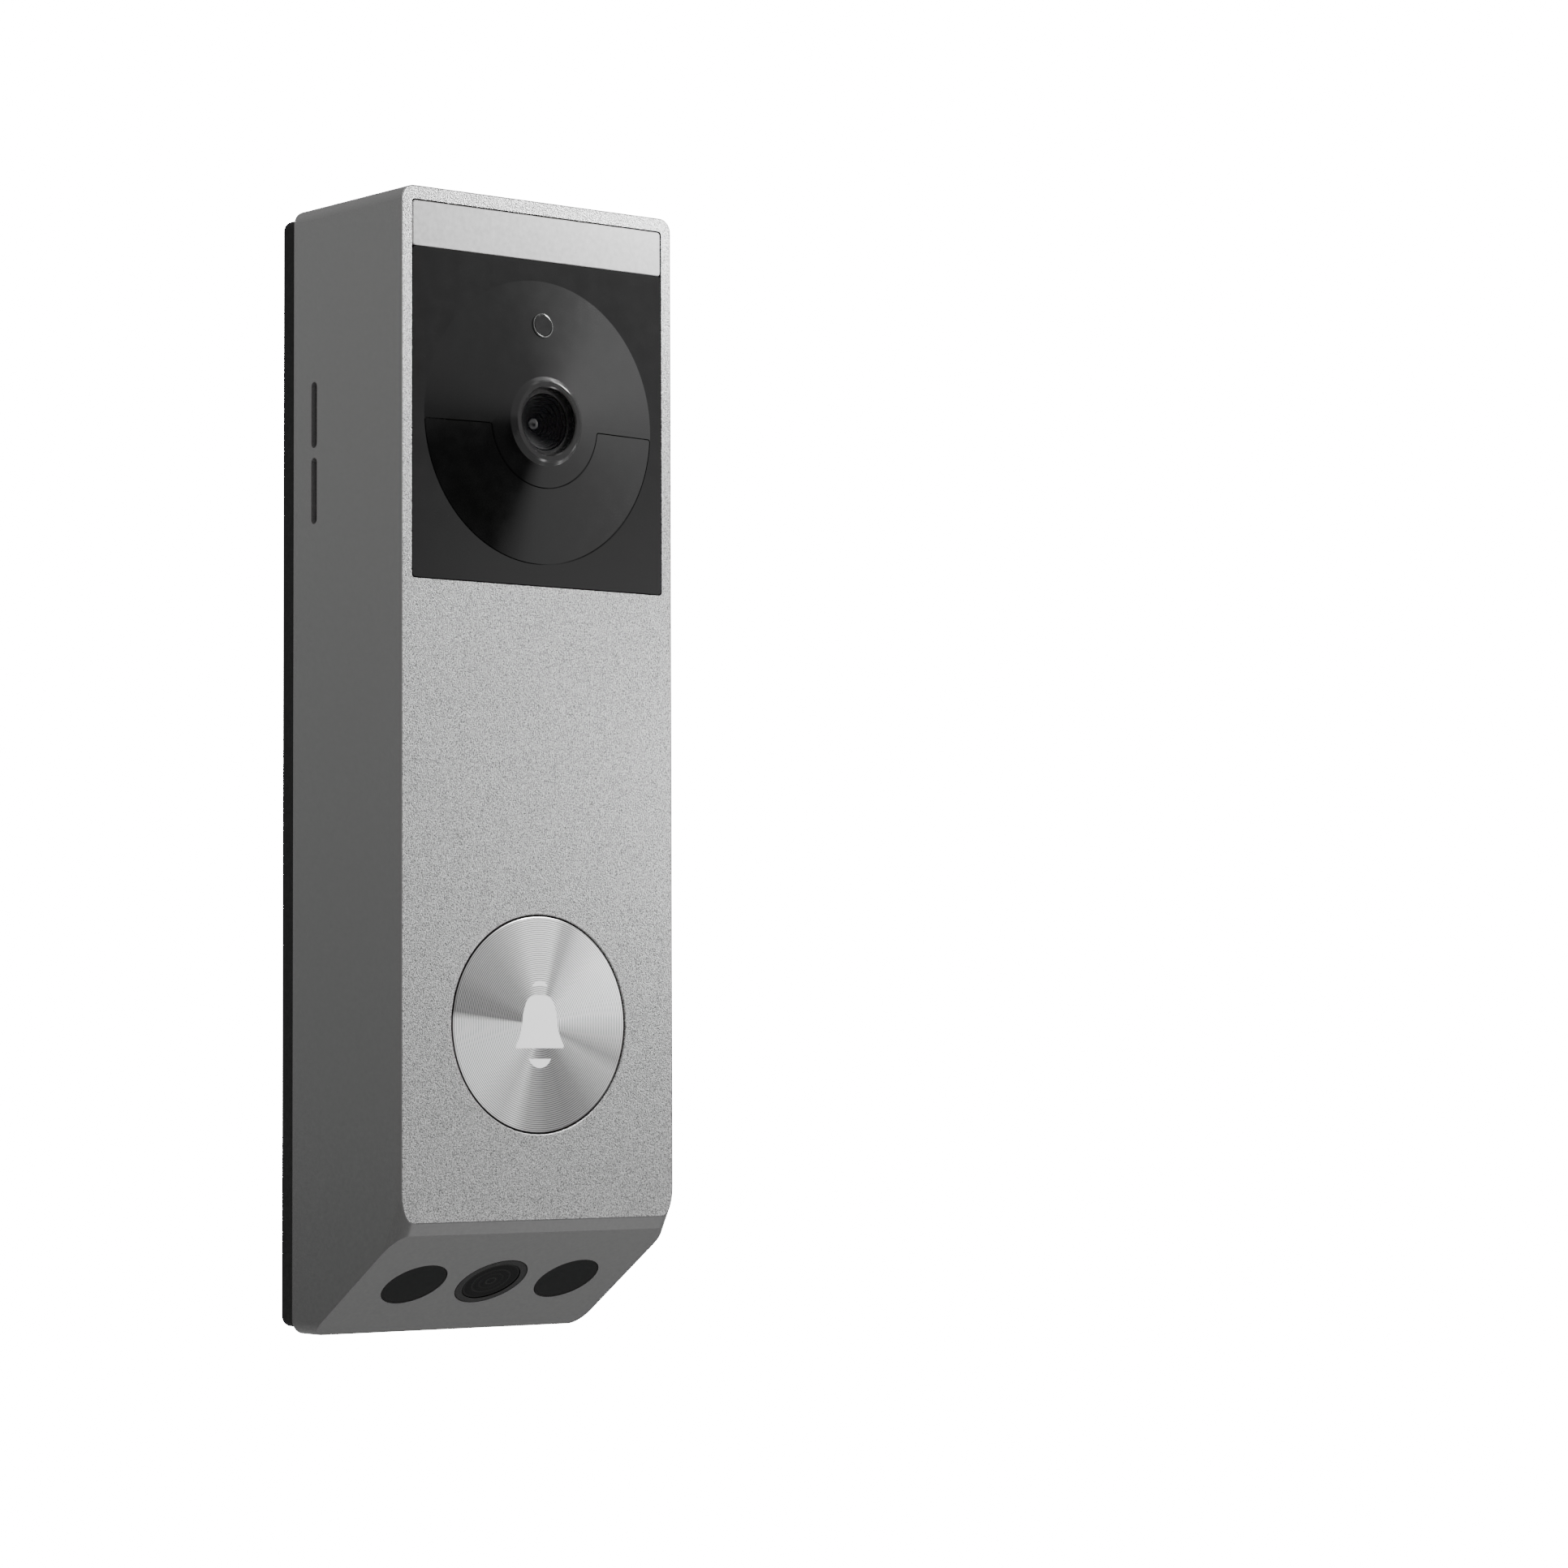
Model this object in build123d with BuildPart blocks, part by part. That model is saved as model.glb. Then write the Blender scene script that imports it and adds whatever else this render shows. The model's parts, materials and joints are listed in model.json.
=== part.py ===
"""Battery video doorbell on its wall plate, in millimetres.

Frame: +X is to the right of someone facing the doorbell, +Y runs into the wall and +Z is up.
The origin is the middle of the wall plate's back face, so the wall is the plane y = 0 and the
doorbell stands out from it towards -Y.
"""

from build123d import *
import math
import os

# ---------------------------------------------------------------- outer shape
WIDTH = 46.0
HEIGHT = 153.5
BODY_DEPTH = 25.2  # doorbell unit, front face to back face
PLATE_DEPTH = 4.0  # wall plate that carries the unit
CORNER_R = 1.9
CHIN_RISE = 15.6  # height of the sloping underside
LIP_DEPTH = 0.85  # narrow bevel between the front face and the slope
LIP_DROP = 1.6
SLOPE_RUN = 21.0  # front face to the back end of the slope
WALL = 2.4
RIM = 1.1  # part of the wall left around the rear cover
EDGE_BREAK = 0.12
FIT = 0.1  # gap between parts that sit in one another
PANEL_RIM = 0.12  # thin edge of the housing left standing round the front panel
WINDOW_GAP = 0.16  # gap round the pieces in the camera window
RUN = 0.35  # gap around parts that move

# ---------------------------------------------------------------- levels
FRONT = -(BODY_DEPTH + PLATE_DEPTH)
BACK = -PLATE_DEPTH
PANEL_T = 1.0
TAPE_T = 0.2
PANEL_BACK = FRONT + PANEL_T
SEAT = PANEL_BACK + TAPE_T  # front of the housing wall behind the panel
INSIDE = SEAT + 1.6
COVER_T = 1.8
COVER_IN = BACK - COVER_T
LEDGE = COVER_IN - 0.5  # rear seal lies between the ledge and the cover
TOP = HEIGHT / 2
BOTTOM = -TOP
CHIN = BOTTOM + CHIN_RISE
INNER_HALF = WIDTH / 2 - WALL

# ---------------------------------------------------------------- camera window
WINDOW_HALF = 21.36
WINDOW_TOP = TOP - 1.8
WINDOW_BOTTOM = TOP - 52.5
TRIM_BOTTOM = TOP - 8.1
WINDOW_R = 0.5
EYE_Z = TOP - 30.2
DOME_R = 19.33
DOME_RISE = 1.6
SKIRT_R = 6.1
BEZEL_STEM_R = 5.0
BARREL_R = 3.8
HOLLOW_R = (10.2, 17.0)
PIR_INNER_R = 8.96
PIR_TOP = EYE_Z - 0.75
PIR_STEP = 0.6
GROOVE = 0.14
DAYLIGHT_Z = EYE_Z + 13.15
DAYLIGHT_R = 1.6
EYE_OPENING_R = 16.2
SENSOR_BOARD_BACK = FRONT + 8.7
CAMERA_BOARD_BACK = FRONT + 12.6

# ---------------------------------------------------------------- button
BUTTON_Z = TOP - 111.6
BUTTON_HOLE_R = 14.78
BUTTON_R = 14.5
BUTTON_TRAVEL = 0.5
CAP_T = 1.0
CAP_BACK = FRONT + CAP_T
CARRIER_T = 0.4
RECESS_FLOOR = CAP_BACK + CARRIER_T + BUTTON_TRAVEL + 0.2
STEM_R = 7.0
STEM_BACK = FRONT + 4.2
BUTTON_BOARD_BACK = FRONT + 9.7
SPRING_R = 4.4
SPRING_WIRE_R = 0.3
SPRING_TURNS = 4

# ---------------------------------------------------------------- side slots
SLOT_LENGTH = 9.05
SLOT_WIDTH = 1.3
SLOT_Y = FRONT + 20.35
SPEAKER_Z = TOP - 28.75
MIC_Z = TOP - 39.15
SLOT_POCKET = (4.4, 9.8, 1.6)  # along Y, along Z, depth cut from the inside

# ---------------------------------------------------------------- chin
CHIN_PITCH = 12.95
CHIN_LENS_R = 5.28
CHIN_WINDOW_R = 4.72
CHIN_BOARD_DEPTH = 9.5
CHIN_POST = (7.4, 4.6)
SLOPE_TOP = (FRONT + LIP_DEPTH, CHIN - LIP_DROP)
SLOPE_ANGLE = math.atan2(CHIN_RISE - LIP_DROP, SLOPE_RUN - LIP_DEPTH)
SLOPE_LENGTH = math.hypot(CHIN_RISE - LIP_DROP, SLOPE_RUN - LIP_DEPTH)

# ---------------------------------------------------------------- wall plate
PLATE_INSET = 0.8
SCREW_PITCH = 128.0
SCREW_HOLE_R = 2.2
SCREW_HEAD_R = 4.4
CABLE_WINDOW = (24.0, 32.0)
CABLE_WINDOW_Z = 34.0
HOOK_X = 14.5
HOOK_ZS = (62.0, -46.0)
HOOK_WIDTH = 5.0
HOOK_STEM = 3.0
HOOK_LIP = 4.0
HOOK_LIP_T = 2.0
HOOK_REACH = 3.6
LIFT = 4.5
SKIN_T = 1.4  # cover skin that hangs on the hooks
POCKET_T = 0.8

# ---------------------------------------------------------------- inside
BOARD_HALF = 15.2
BOARD_FRONT = FRONT + 16.0
BOARD_BACK = BOARD_FRONT + 1.2
BOARD_BOTTOM = 19.0
BOARD_TOP = 72.5
BATTERY = (37.0, 9.6, 62.0)
BATTERY_BACK = -9.0
BATTERY_FRONT = BATTERY_BACK - BATTERY[1]
BATTERY_Z = -20.0
PORT_X = 4.0
PORT_Z = 26.0
RESET_Z = 39.0
TERMINAL_X = -6.5
TERMINAL_ZS = (28.0, 40.0)
COVER_SCREWS = [(x, z) for x in (-18.25, 18.25) for z in (71.6, 14.5, -56.5)]
BOARD_SCREWS = [(x, z) for x in (-13.0, 13.0) for z in (22.5, 68.0)]
SENSOR_PINS = [(x, EYE_Z + z) for x in (-13.0, 13.0) for z in (-14.3, 14.3)]
BUTTON_PINS = [(x, BUTTON_Z + z) for x in (-11.0, 11.0) for z in (-10.0, 10.0)]
COVER_THREAD_R = 1.1
BOARD_THREAD_R = 1.0


# ---------------------------------------------------------------- construction helpers
def facing(y, x=0.0, z=0.0):
    """Plane at that depth with its normal out of the front; sketches on it read as world X and Z."""
    return Plane(origin=(x, y, z), x_dir=(1, 0, 0), z_dir=(0, -1, 0))


def lathe_section(z):
    """Plane through the axis at height z: sketch X is the radius, sketch Y the height above FRONT."""
    return Plane(origin=(0, FRONT, z), x_dir=(1, 0, 0), z_dir=(0, 0, -1))


def chin_plane(depth=0.0):
    """Plane under the slope at that depth, centred on it, facing down and out."""
    out = Vector(0, -math.sin(SLOPE_ANGLE), -math.cos(SLOPE_ANGLE))
    half = SLOPE_LENGTH / 2
    y = SLOPE_TOP[0] + half * math.cos(SLOPE_ANGLE)
    z = SLOPE_TOP[1] - half * math.sin(SLOPE_ANGLE)
    return Plane(origin=Vector(0, y, z) - out * depth, x_dir=(1, 0, 0), z_dir=out)


def outline(plane, *points):
    """Filled polygon on a plane."""
    with BuildSketch(plane) as sketch:
        with BuildLine():
            Polyline(*points, close=True)
        make_face()
    return sketch.sketch


def block(width, height, back, front, x=0.0, z=0.0, mode=Mode.ADD):
    """Rectangular block between two depths, centred on x and z."""
    with Locations((x, (back + front) / 2, z)):
        Box(width, back - front, height, mode=mode)


def span_block(x_range, z_range, back, front, mode=Mode.ADD):
    """Rectangular block given by its limits."""
    width = x_range[1] - x_range[0]
    height = z_range[1] - z_range[0]
    block(width, height, back, front, sum(x_range) / 2, sum(z_range) / 2, mode)


def rod(radius, back, front, centres, mode=Mode.ADD):
    """Round bars along Y between two depths, one at each (x, z)."""
    for x, z in centres:
        with Locations(Location((x, (back + front) / 2, z), (90, 0, 0))):
            Cylinder(radius, back - front, mode=mode)


def dome_height(radius):
    """Height of the camera dome's cone above the front face."""
    return DOME_RISE * (DOME_R - radius) / (DOME_R - SKIRT_R)


def crown_arc(crown, rim):
    """Arc from the axis at height crown to a rim point, with its centre on the axis."""
    sag = crown - rim[1]
    radius = (rim[0] ** 2 + sag**2) / (2 * sag)
    half = rim[0] / 2
    middle = crown - radius + math.sqrt(radius**2 - half**2)
    return ThreePointArc((0, crown), (half, middle), rim)


def side_profile(inset):
    """Outline of the unit seen from the side, moved in by inset."""
    with BuildSketch() as sketch:
        with BuildLine():
            Polyline(
                (FRONT, TOP),
                (BACK, TOP),
                (BACK, BOTTOM),
                (FRONT + SLOPE_RUN, BOTTOM),
                SLOPE_TOP,
                (FRONT, CHIN),
                close=True,
            )
        make_face()
        if inset:
            offset(amount=-inset, kind=Kind.INTERSECTION)
    return sketch.sketch


def front_prism(inset, back):
    """Prism over the unit's front face, moved in all round, from that depth out of the front."""
    half, low, high = WIDTH / 2 - inset, CHIN + inset, TOP - inset
    round_x = CORNER_R - inset
    round_z = CORNER_R * math.hypot(LIP_DEPTH, LIP_DROP) / LIP_DEPTH - inset
    centre_x, centre_z = half - round_x, low + round_z
    with BuildPart() as prism:
        with BuildSketch(facing(back)):
            with BuildLine():
                Line((-centre_x, low), (centre_x, low))
                EllipticalCenterArc((centre_x, centre_z), round_x, round_z, 270, arc_size=90)
                Line((half, centre_z), (half, high - round_x))
                RadiusArc((half, high - round_x), (centre_x, high), -round_x)
                Line((centre_x, high), (-centre_x, high))
                RadiusArc((-centre_x, high), (-half, high - round_x), -round_x)
                Line((-half, high - round_x), (-half, centre_z))
                EllipticalCenterArc((-centre_x, centre_z), round_x, round_z, 180, arc_size=90)
            make_face()
        extrude(amount=back - FRONT + 1)
    return prism.part


def lip_rounding():
    """Long bar lying along the bevel; what is inside it has the bevel's two ends rounded."""
    reach = 2 * HEIGHT
    along = Vector(0, LIP_DEPTH, -LIP_DROP)
    middle = (0, FRONT + LIP_DEPTH / 2, CHIN - LIP_DROP / 2)
    bar = Plane(origin=middle, x_dir=(1, 0, 0), z_dir=along)
    with BuildPart() as tool:
        with BuildSketch(bar):
            with Locations((0, -reach / 2)):
                rectangle = Rectangle(WIDTH, reach)
            fillet(rectangle.vertices().group_by(Axis.Y)[-1], CORNER_R)
        extrude(amount=reach, both=True)
    return tool.part


def unit_envelope():
    """Outer shape of the unit before anything is cut out of it."""
    with BuildPart() as solid:
        with BuildSketch(Plane.YZ):
            add(side_profile(0))
        extrude(amount=WIDTH / 2, both=True)
        fillet(solid.edges().filter_by(Axis.Y), CORNER_R)
        add(lip_rounding(), mode=Mode.INTERSECT)
    return solid.part


def unit_cavity():
    """Hollow of the housing, closed at the front and reaching the ledge at the back."""
    with BuildPart() as hollow:
        with BuildSketch(Plane.YZ):
            add(side_profile(WALL))
            with Locations(((INSIDE + LEDGE) / 2, 0)):
                Rectangle(LEDGE - INSIDE, HEIGHT, mode=Mode.INTERSECT)
            with Locations((LEDGE - 0.3, 0)):
                Rectangle(0.6, HEIGHT - 2 * WALL)
        extrude(amount=INNER_HALF, both=True)
        fillet(hollow.edges().filter_by(Axis.Y), CORNER_R / 2)
    return hollow.part


def half_ring(inner, outer, top, corner, depth_back, depth_front):
    """Lower half of a ring around the eye, cut off straight at height top."""
    with BuildPart() as ring:
        with BuildSketch(facing(depth_back, z=EYE_Z)):
            Circle(outer)
            Circle(inner, mode=Mode.SUBTRACT)
            with Locations((0, top - EYE_Z + outer)):
                Rectangle(2 * outer + 1, 2 * outer, mode=Mode.SUBTRACT)
        extrude(amount=depth_back - depth_front)
        fillet(ring.edges().filter_by(Axis.Y), corner)
    return ring.part


def window_insert(bottom, top):
    """Flat piece that fills the camera window between two heights."""
    with BuildPart() as insert:
        with BuildSketch(facing(PANEL_BACK, z=(bottom + top) / 2)):
            RectangleRounded(2 * (WINDOW_HALF - WINDOW_GAP), top - bottom, WINDOW_R)
        extrude(amount=PANEL_T)
    return insert.part


def hook_pocket(x, z, grow, back, front, above):
    """Room around a wall hook: everything it sweeps while the unit is lifted off it."""
    low = z - HOOK_STEM / 2 - LIFT - RUN - grow
    high = z + HOOK_STEM / 2 + above + grow
    half = HOOK_WIDTH / 2 + RUN + grow
    return (x - half, x + half), (low, high), back, front


# ---------------------------------------------------------------- wall plate
with BuildPart() as mounting_plate:
    plate_size = (WIDTH - 2 * PLATE_INSET, HEIGHT - 2 * PLATE_INSET)
    with BuildSketch(facing(0)):
        RectangleRounded(*plate_size, CORNER_R - PLATE_INSET / 2)
    extrude(amount=PLATE_DEPTH)
    fillet(mounting_plate.faces().sort_by(Axis.Y)[-1].edges(), 0.5)
    # window for the house wiring and the service port
    block(*CABLE_WINDOW, 1, BACK - 1, z=CABLE_WINDOW_Z, mode=Mode.SUBTRACT)
    fillet(mounting_plate.edges().filter_by(Axis.Y).group_by(Axis.Z)[2:-2], 2.0)
    # counterbored holes for the two wall screws
    wall_screws = [(0, SCREW_PITCH / 2), (0, -SCREW_PITCH / 2)]
    rod(SCREW_HOLE_R, 1, BACK - 1, wall_screws, Mode.SUBTRACT)
    rod(SCREW_HEAD_R, BACK + 2.4, BACK - 1, wall_screws, Mode.SUBTRACT)
    # shallow weight-saving panels on the wall side
    for x in (-12.0, 12.0):
        for z, height in ((-12.0, 34.0), (-58.0, 22.0)):
            with BuildSketch(facing(0, x, z)):
                RectangleRounded(14.0, height, 1.5)
            extrude(amount=1.4, mode=Mode.SUBTRACT)
    # hooks that carry the unit
    for x in (-HOOK_X, HOOK_X):
        for z in HOOK_ZS:
            lip_z = z + HOOK_LIP / 2
            block(HOOK_WIDTH, HOOK_STEM, BACK + 0.5, BACK - HOOK_REACH, x, z)
            lip_back = BACK - HOOK_REACH + HOOK_LIP_T
            block(HOOK_WIDTH, HOOK_STEM + HOOK_LIP, lip_back, BACK - HOOK_REACH, x, lip_z)
mounting_plate.part.label = "mounting_plate"

# ---------------------------------------------------------------- housing
with BuildPart() as housing:
    add(unit_envelope())
    # shallow tray that takes the front panel
    add(front_prism(PANEL_RIM, SEAT), mode=Mode.SUBTRACT)
    add(unit_cavity(), mode=Mode.SUBTRACT)
    # recess for the rear cover and its seal
    with BuildSketch(facing(BACK)):
        RectangleRounded(WIDTH - 2 * RIM, HEIGHT - 2 * RIM, CORNER_R - RIM)
    extrude(amount=BACK - LEDGE, mode=Mode.SUBTRACT)
    # openings behind the camera window and the button
    rod(EYE_OPENING_R, INSIDE + 1, SEAT - 1, [(0, EYE_Z)], Mode.SUBTRACT)
    rod(BUTTON_HOLE_R + 0.4, RECESS_FLOOR, SEAT - 1, [(0, BUTTON_Z)], Mode.SUBTRACT)
    rod(STEM_R + RUN, INSIDE + 1, SEAT - 1, [(0, BUTTON_Z)], Mode.SUBTRACT)
    # screw bosses, and posts whose pins are melted over the small boards
    rod(2.4, COVER_IN, INSIDE - 0.5, COVER_SCREWS)
    rod(2.2, BOARD_FRONT, INSIDE - 0.5, BOARD_SCREWS)
    for pins, board_back in ((SENSOR_PINS, SENSOR_BOARD_BACK), (BUTTON_PINS, BUTTON_BOARD_BACK)):
        rod(1.4, board_back - 1.0, INSIDE - 0.5, pins)
        rod(0.7, board_back + 0.2, INSIDE - 0.5, pins)
    rod(COVER_THREAD_R, COVER_IN + 1, COVER_IN - 6.0, COVER_SCREWS, Mode.SUBTRACT)
    rod(BOARD_THREAD_R, BOARD_FRONT + 1, BOARD_FRONT - 5.0, BOARD_SCREWS, Mode.SUBTRACT)
    # speaker and microphone slots, each with a pocket behind it
    for z in (SPEAKER_Z, MIC_Z):
        slot = Plane(origin=(-WIDTH / 2, SLOT_Y, z), x_dir=(0, 0, 1), z_dir=(1, 0, 0))
        with BuildSketch(slot):
            SlotOverall(SLOT_LENGTH, SLOT_WIDTH)
        extrude(amount=WALL, mode=Mode.SUBTRACT)
        with BuildSketch(slot.offset(WALL - SLOT_POCKET[2])):
            RectangleRounded(SLOT_POCKET[1], SLOT_POCKET[0], 1.0)
        extrude(amount=SLOT_POCKET[2], mode=Mode.SUBTRACT)
    # stepped holes of the chin windows
    for x, radius, seat in ((0, CHIN_LENS_R, 1.2), (-CHIN_PITCH, CHIN_WINDOW_R, 1.0),
                            (CHIN_PITCH, CHIN_WINDOW_R, 1.0)):
        with BuildSketch(chin_plane()):
            with Locations((x, 0)):
                Circle(radius + FIT / 2)
        extrude(amount=-seat, mode=Mode.SUBTRACT)
        with BuildSketch(chin_plane()):
            with Locations((x, 0)):
                Circle(radius - 0.7)
        extrude(amount=-(WALL + 0.5), mode=Mode.SUBTRACT)
    with BuildSketch(chin_plane(CHIN_BOARD_DEPTH)):
        with GridLocations(2 * CHIN_POST[0], 2 * CHIN_POST[1], 2, 2):
            Circle(1.3)
    extrude(amount=CHIN_BOARD_DEPTH - WALL + 0.4)
    with BuildSketch(chin_plane(CHIN_BOARD_DEPTH + 1.2)):
        with GridLocations(2 * CHIN_POST[0], 2 * CHIN_POST[1], 2, 2):
            Circle(0.6)
    extrude(amount=2.0)
housing.part.label = "housing"

with BuildPart() as front_panel:
    add(front_prism(PANEL_RIM + 0.03, PANEL_BACK))
    block(WIDTH, HEIGHT, FRONT, FRONT - 2, mode=Mode.SUBTRACT)
    with BuildSketch(facing(SEAT, z=(WINDOW_TOP + WINDOW_BOTTOM) / 2)):
        RectangleRounded(2 * WINDOW_HALF, WINDOW_TOP - WINDOW_BOTTOM, WINDOW_R)
    extrude(amount=SEAT - FRONT + 1, mode=Mode.SUBTRACT)
    rod(BUTTON_HOLE_R, SEAT, FRONT - 1, [(0, BUTTON_Z)], Mode.SUBTRACT)
    rims = front_panel.edges().filter_by(GeomType.CIRCLE).filter_by(lambda e: e.radius > BUTTON_R)
    chamfer(rims.sort_by(Axis.Y)[0], EDGE_BREAK)
front_panel.part.label = "front_panel"

with BuildPart() as panel_tape:
    with BuildSketch(facing(SEAT, z=(CHIN + TOP) / 2)):
        Rectangle(WIDTH - 2.4, TOP - CHIN - 2.4)
    extrude(amount=TAPE_T)
    # the camera window's pieces lie on it by their edges
    block(2 * WINDOW_HALF - 2.4, 42.0, SEAT, FRONT, z=EYE_Z, mode=Mode.SUBTRACT)
    rod(BUTTON_HOLE_R + 0.6, SEAT, FRONT, [(0, BUTTON_Z)], Mode.SUBTRACT)
panel_tape.part.label = "panel_tape"

# ---------------------------------------------------------------- camera window
EYE_AXIS = Axis((0, FRONT, EYE_Z), (0, -1, 0))
EYE = lathe_section(EYE_Z)

with BuildPart() as trim_bar:
    add(window_insert(TRIM_BOTTOM + 0.04, WINDOW_TOP - WINDOW_GAP))
    chamfer(trim_bar.faces().sort_by(Axis.Y)[0].edges(), EDGE_BREAK)
trim_bar.part.label = "trim_bar"

with BuildPart() as camera_cover:
    add(window_insert(WINDOW_BOTTOM + WINDOW_GAP, TRIM_BOTTOM - 0.04))
    cone = ((0, -0.5), (DOME_R, -0.5), (DOME_R, 0), (SKIRT_R, DOME_RISE), (0, DOME_RISE))
    revolve(outline(EYE, *cone), axis=EYE_AXIS)
    shell = 1.15
    hollow_top = [(r, dome_height(r) - shell) for r in HOLLOW_R]
    back = -PANEL_T
    hollow_section = outline(EYE, (HOLLOW_R[0], back), *hollow_top, (HOLLOW_R[1], back))
    revolve(hollow_section, axis=EYE_AXIS, mode=Mode.SUBTRACT)
    # seat of the motion-sensor window
    seat_back = FRONT + PIR_STEP + 0.05
    add(half_ring(PIR_INNER_R, DOME_R, PIR_TOP, 0.4, seat_back, FRONT - 3), mode=Mode.SUBTRACT)
    add(
        half_ring(HOLLOW_R[0], DOME_R - 1.2, PIR_TOP - 1.2, 0.4, SEAT, FRONT - 3),
        mode=Mode.SUBTRACT,
    )
    rod(BEZEL_STEM_R + FIT / 2, SEAT, FRONT - 3, [(0, EYE_Z)], Mode.SUBTRACT)
    rod(DAYLIGHT_R + FIT, SEAT, FRONT - 3, [(0, DAYLIGHT_Z)], Mode.SUBTRACT)
camera_cover.part.label = "camera_cover"

with BuildPart() as pir_window:
    inner, outer = PIR_INNER_R, DOME_R
    ring = (
        (inner, -PIR_STEP),
        (inner, dome_height(inner)),
        (outer, 0),
        (outer, -PIR_STEP),
        (outer - 1.5, -PIR_STEP),
        (inner + 1.3, dome_height(inner) - 1.1),
        (inner + 1.3, -PIR_STEP),
    )
    revolve(outline(EYE, *ring), axis=EYE_AXIS)
    span = (FRONT + 2, FRONT - 3)
    add(
        half_ring(inner + GROOVE, outer - GROOVE, PIR_TOP - GROOVE, 0.3, *span),
        mode=Mode.INTERSECT,
    )
pir_window.part.label = "pir_window"

with BuildPart() as lens_bezel:
    ring = (
        (BARREL_R + FIT, -1.0),
        (BEZEL_STEM_R, -1.0),
        (BEZEL_STEM_R, DOME_RISE),
        (SKIRT_R, DOME_RISE),
        (5.6, 1.95),
        (5.35, 2.2),
        (4.75, 2.2),
        (4.6, 2.05),
        (4.6, 1.2),
        (BARREL_R + FIT, 1.2),
    )
    revolve(outline(EYE, *ring), axis=EYE_AXIS)
lens_bezel.part.label = "lens_bezel"

with BuildPart() as lens_glass:
    glass = ((0, 1.25), (4.5, 1.25), (4.5, 1.95), (4.4, 2.05), (0, 2.05))
    revolve(outline(EYE, *glass), axis=EYE_AXIS)
lens_glass.part.label = "lens_glass"

with BuildPart() as lens_barrel:
    tube = (
        (1.6, -9.6),
        (BARREL_R, -9.6),
        (BARREL_R, 1.0),
        (3.45, 1.1),
        (3.1, 0.9),
        (3.1, 0.2),
        (2.6, 0.0),
        (1.6, -0.9),
    )
    revolve(outline(EYE, *tube), axis=EYE_AXIS)
lens_barrel.part.label = "lens_barrel"

with BuildPart() as front_element:
    with BuildSketch(EYE):
        with BuildLine():
            crown_arc(0.95, (3.0, 0.25))
            Line((3.0, 0.25), (2.6, 0.08))
            crown_arc(0.42, (2.6, 0.08))
            Line((0, 0.42), (0, 0.95))
        make_face()
    revolve(axis=EYE_AXIS)
front_element.part.label = "front_element"

with BuildPart() as lens_holder:
    holder_r = 6.2
    holder_back = FRONT - (CAMERA_BOARD_BACK - 1.0)
    flange = (SENSOR_BOARD_BACK + 0.1, SENSOR_BOARD_BACK + 1.3)
    tube = (
        (BARREL_R + FIT, -7.2),
        (holder_r, -7.2),
        (holder_r, holder_back),
        (5.2, holder_back),
        (5.2, holder_back + 1.5),
        (BARREL_R + FIT, holder_back + 1.5),
    )
    block(22.0, 14.0, flange[1], flange[0], z=EYE_Z)
    fillet(lens_holder.edges().filter_by(Axis.Y), 1.5)
    rod(holder_r - 0.5, flange[1] + 1, flange[0] - 1, [(0, EYE_Z)], Mode.SUBTRACT)
    revolve(outline(EYE, *tube), axis=EYE_AXIS)
lens_holder.part.label = "lens_holder"

with BuildPart() as image_sensor:
    block(6.4, 6.4, CAMERA_BOARD_BACK - 1.0, CAMERA_BOARD_BACK - 2.2, z=EYE_Z)
    block(4.8, 3.4, CAMERA_BOARD_BACK - 2.1, CAMERA_BOARD_BACK - 2.3, z=EYE_Z)
image_sensor.part.label = "image_sensor"

with BuildPart() as camera_board:
    with BuildSketch(facing(CAMERA_BOARD_BACK, z=EYE_Z)):
        RectangleRounded(18.0, 18.0, 1.0)
        with GridLocations(15.0, 15.0, 2, 2):
            Circle(0.8, mode=Mode.SUBTRACT)
    extrude(amount=1.0)
camera_board.part.label = "camera_board"

with BuildPart() as board_link:
    block(10.0, 3.4, BOARD_FRONT, CAMERA_BOARD_BACK, z=EYE_Z - 5.0)
    link_split = (BOARD_FRONT + CAMERA_BOARD_BACK) / 2
    block(10.6, 4.0, link_split + 0.3, link_split - 0.3, z=EYE_Z - 5.0)
board_link.part.label = "board_link"

with BuildPart() as daylight_pipe:
    head = FRONT - dome_height(DAYLIGHT_Z - EYE_Z) - 0.25
    rod(DAYLIGHT_R, SENSOR_BOARD_BACK - 2.4, head, [(0, DAYLIGHT_Z)])
    chamfer(daylight_pipe.faces().sort_by(Axis.Y)[0].edges(), 0.2)
daylight_pipe.part.label = "daylight_pipe"

with BuildPart() as sensor_board:
    with BuildSketch(facing(SENSOR_BOARD_BACK, z=EYE_Z)):
        RectangleRounded(29.6, 32.4, 1.2)
        Circle(7.0, mode=Mode.SUBTRACT)
        with GridLocations(26.0, 28.6, 2, 2):
            Circle(0.8, mode=Mode.SUBTRACT)
    extrude(amount=1.0)
    # daylight chip
    block(2.4, 2.0, SENSOR_BOARD_BACK - 0.9, SENSOR_BOARD_BACK - 1.8, z=DAYLIGHT_Z)
sensor_board.part.label = "sensor_board"

with BuildPart() as pir_sensors:
    centres = [(x, EYE_Z - 9.2) for x in (-8.6, 8.6)]
    base = SENSOR_BOARD_BACK - 1.0
    rod(4.5, base, base - 0.6, centres)
    rod(4.1, base, base - 4.2, centres)
    for x, z in centres:
        block(3.2, 2.6, base - 4.0, base - 4.35, x, z)
pir_sensors.part.label = "pir_sensors"

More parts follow.
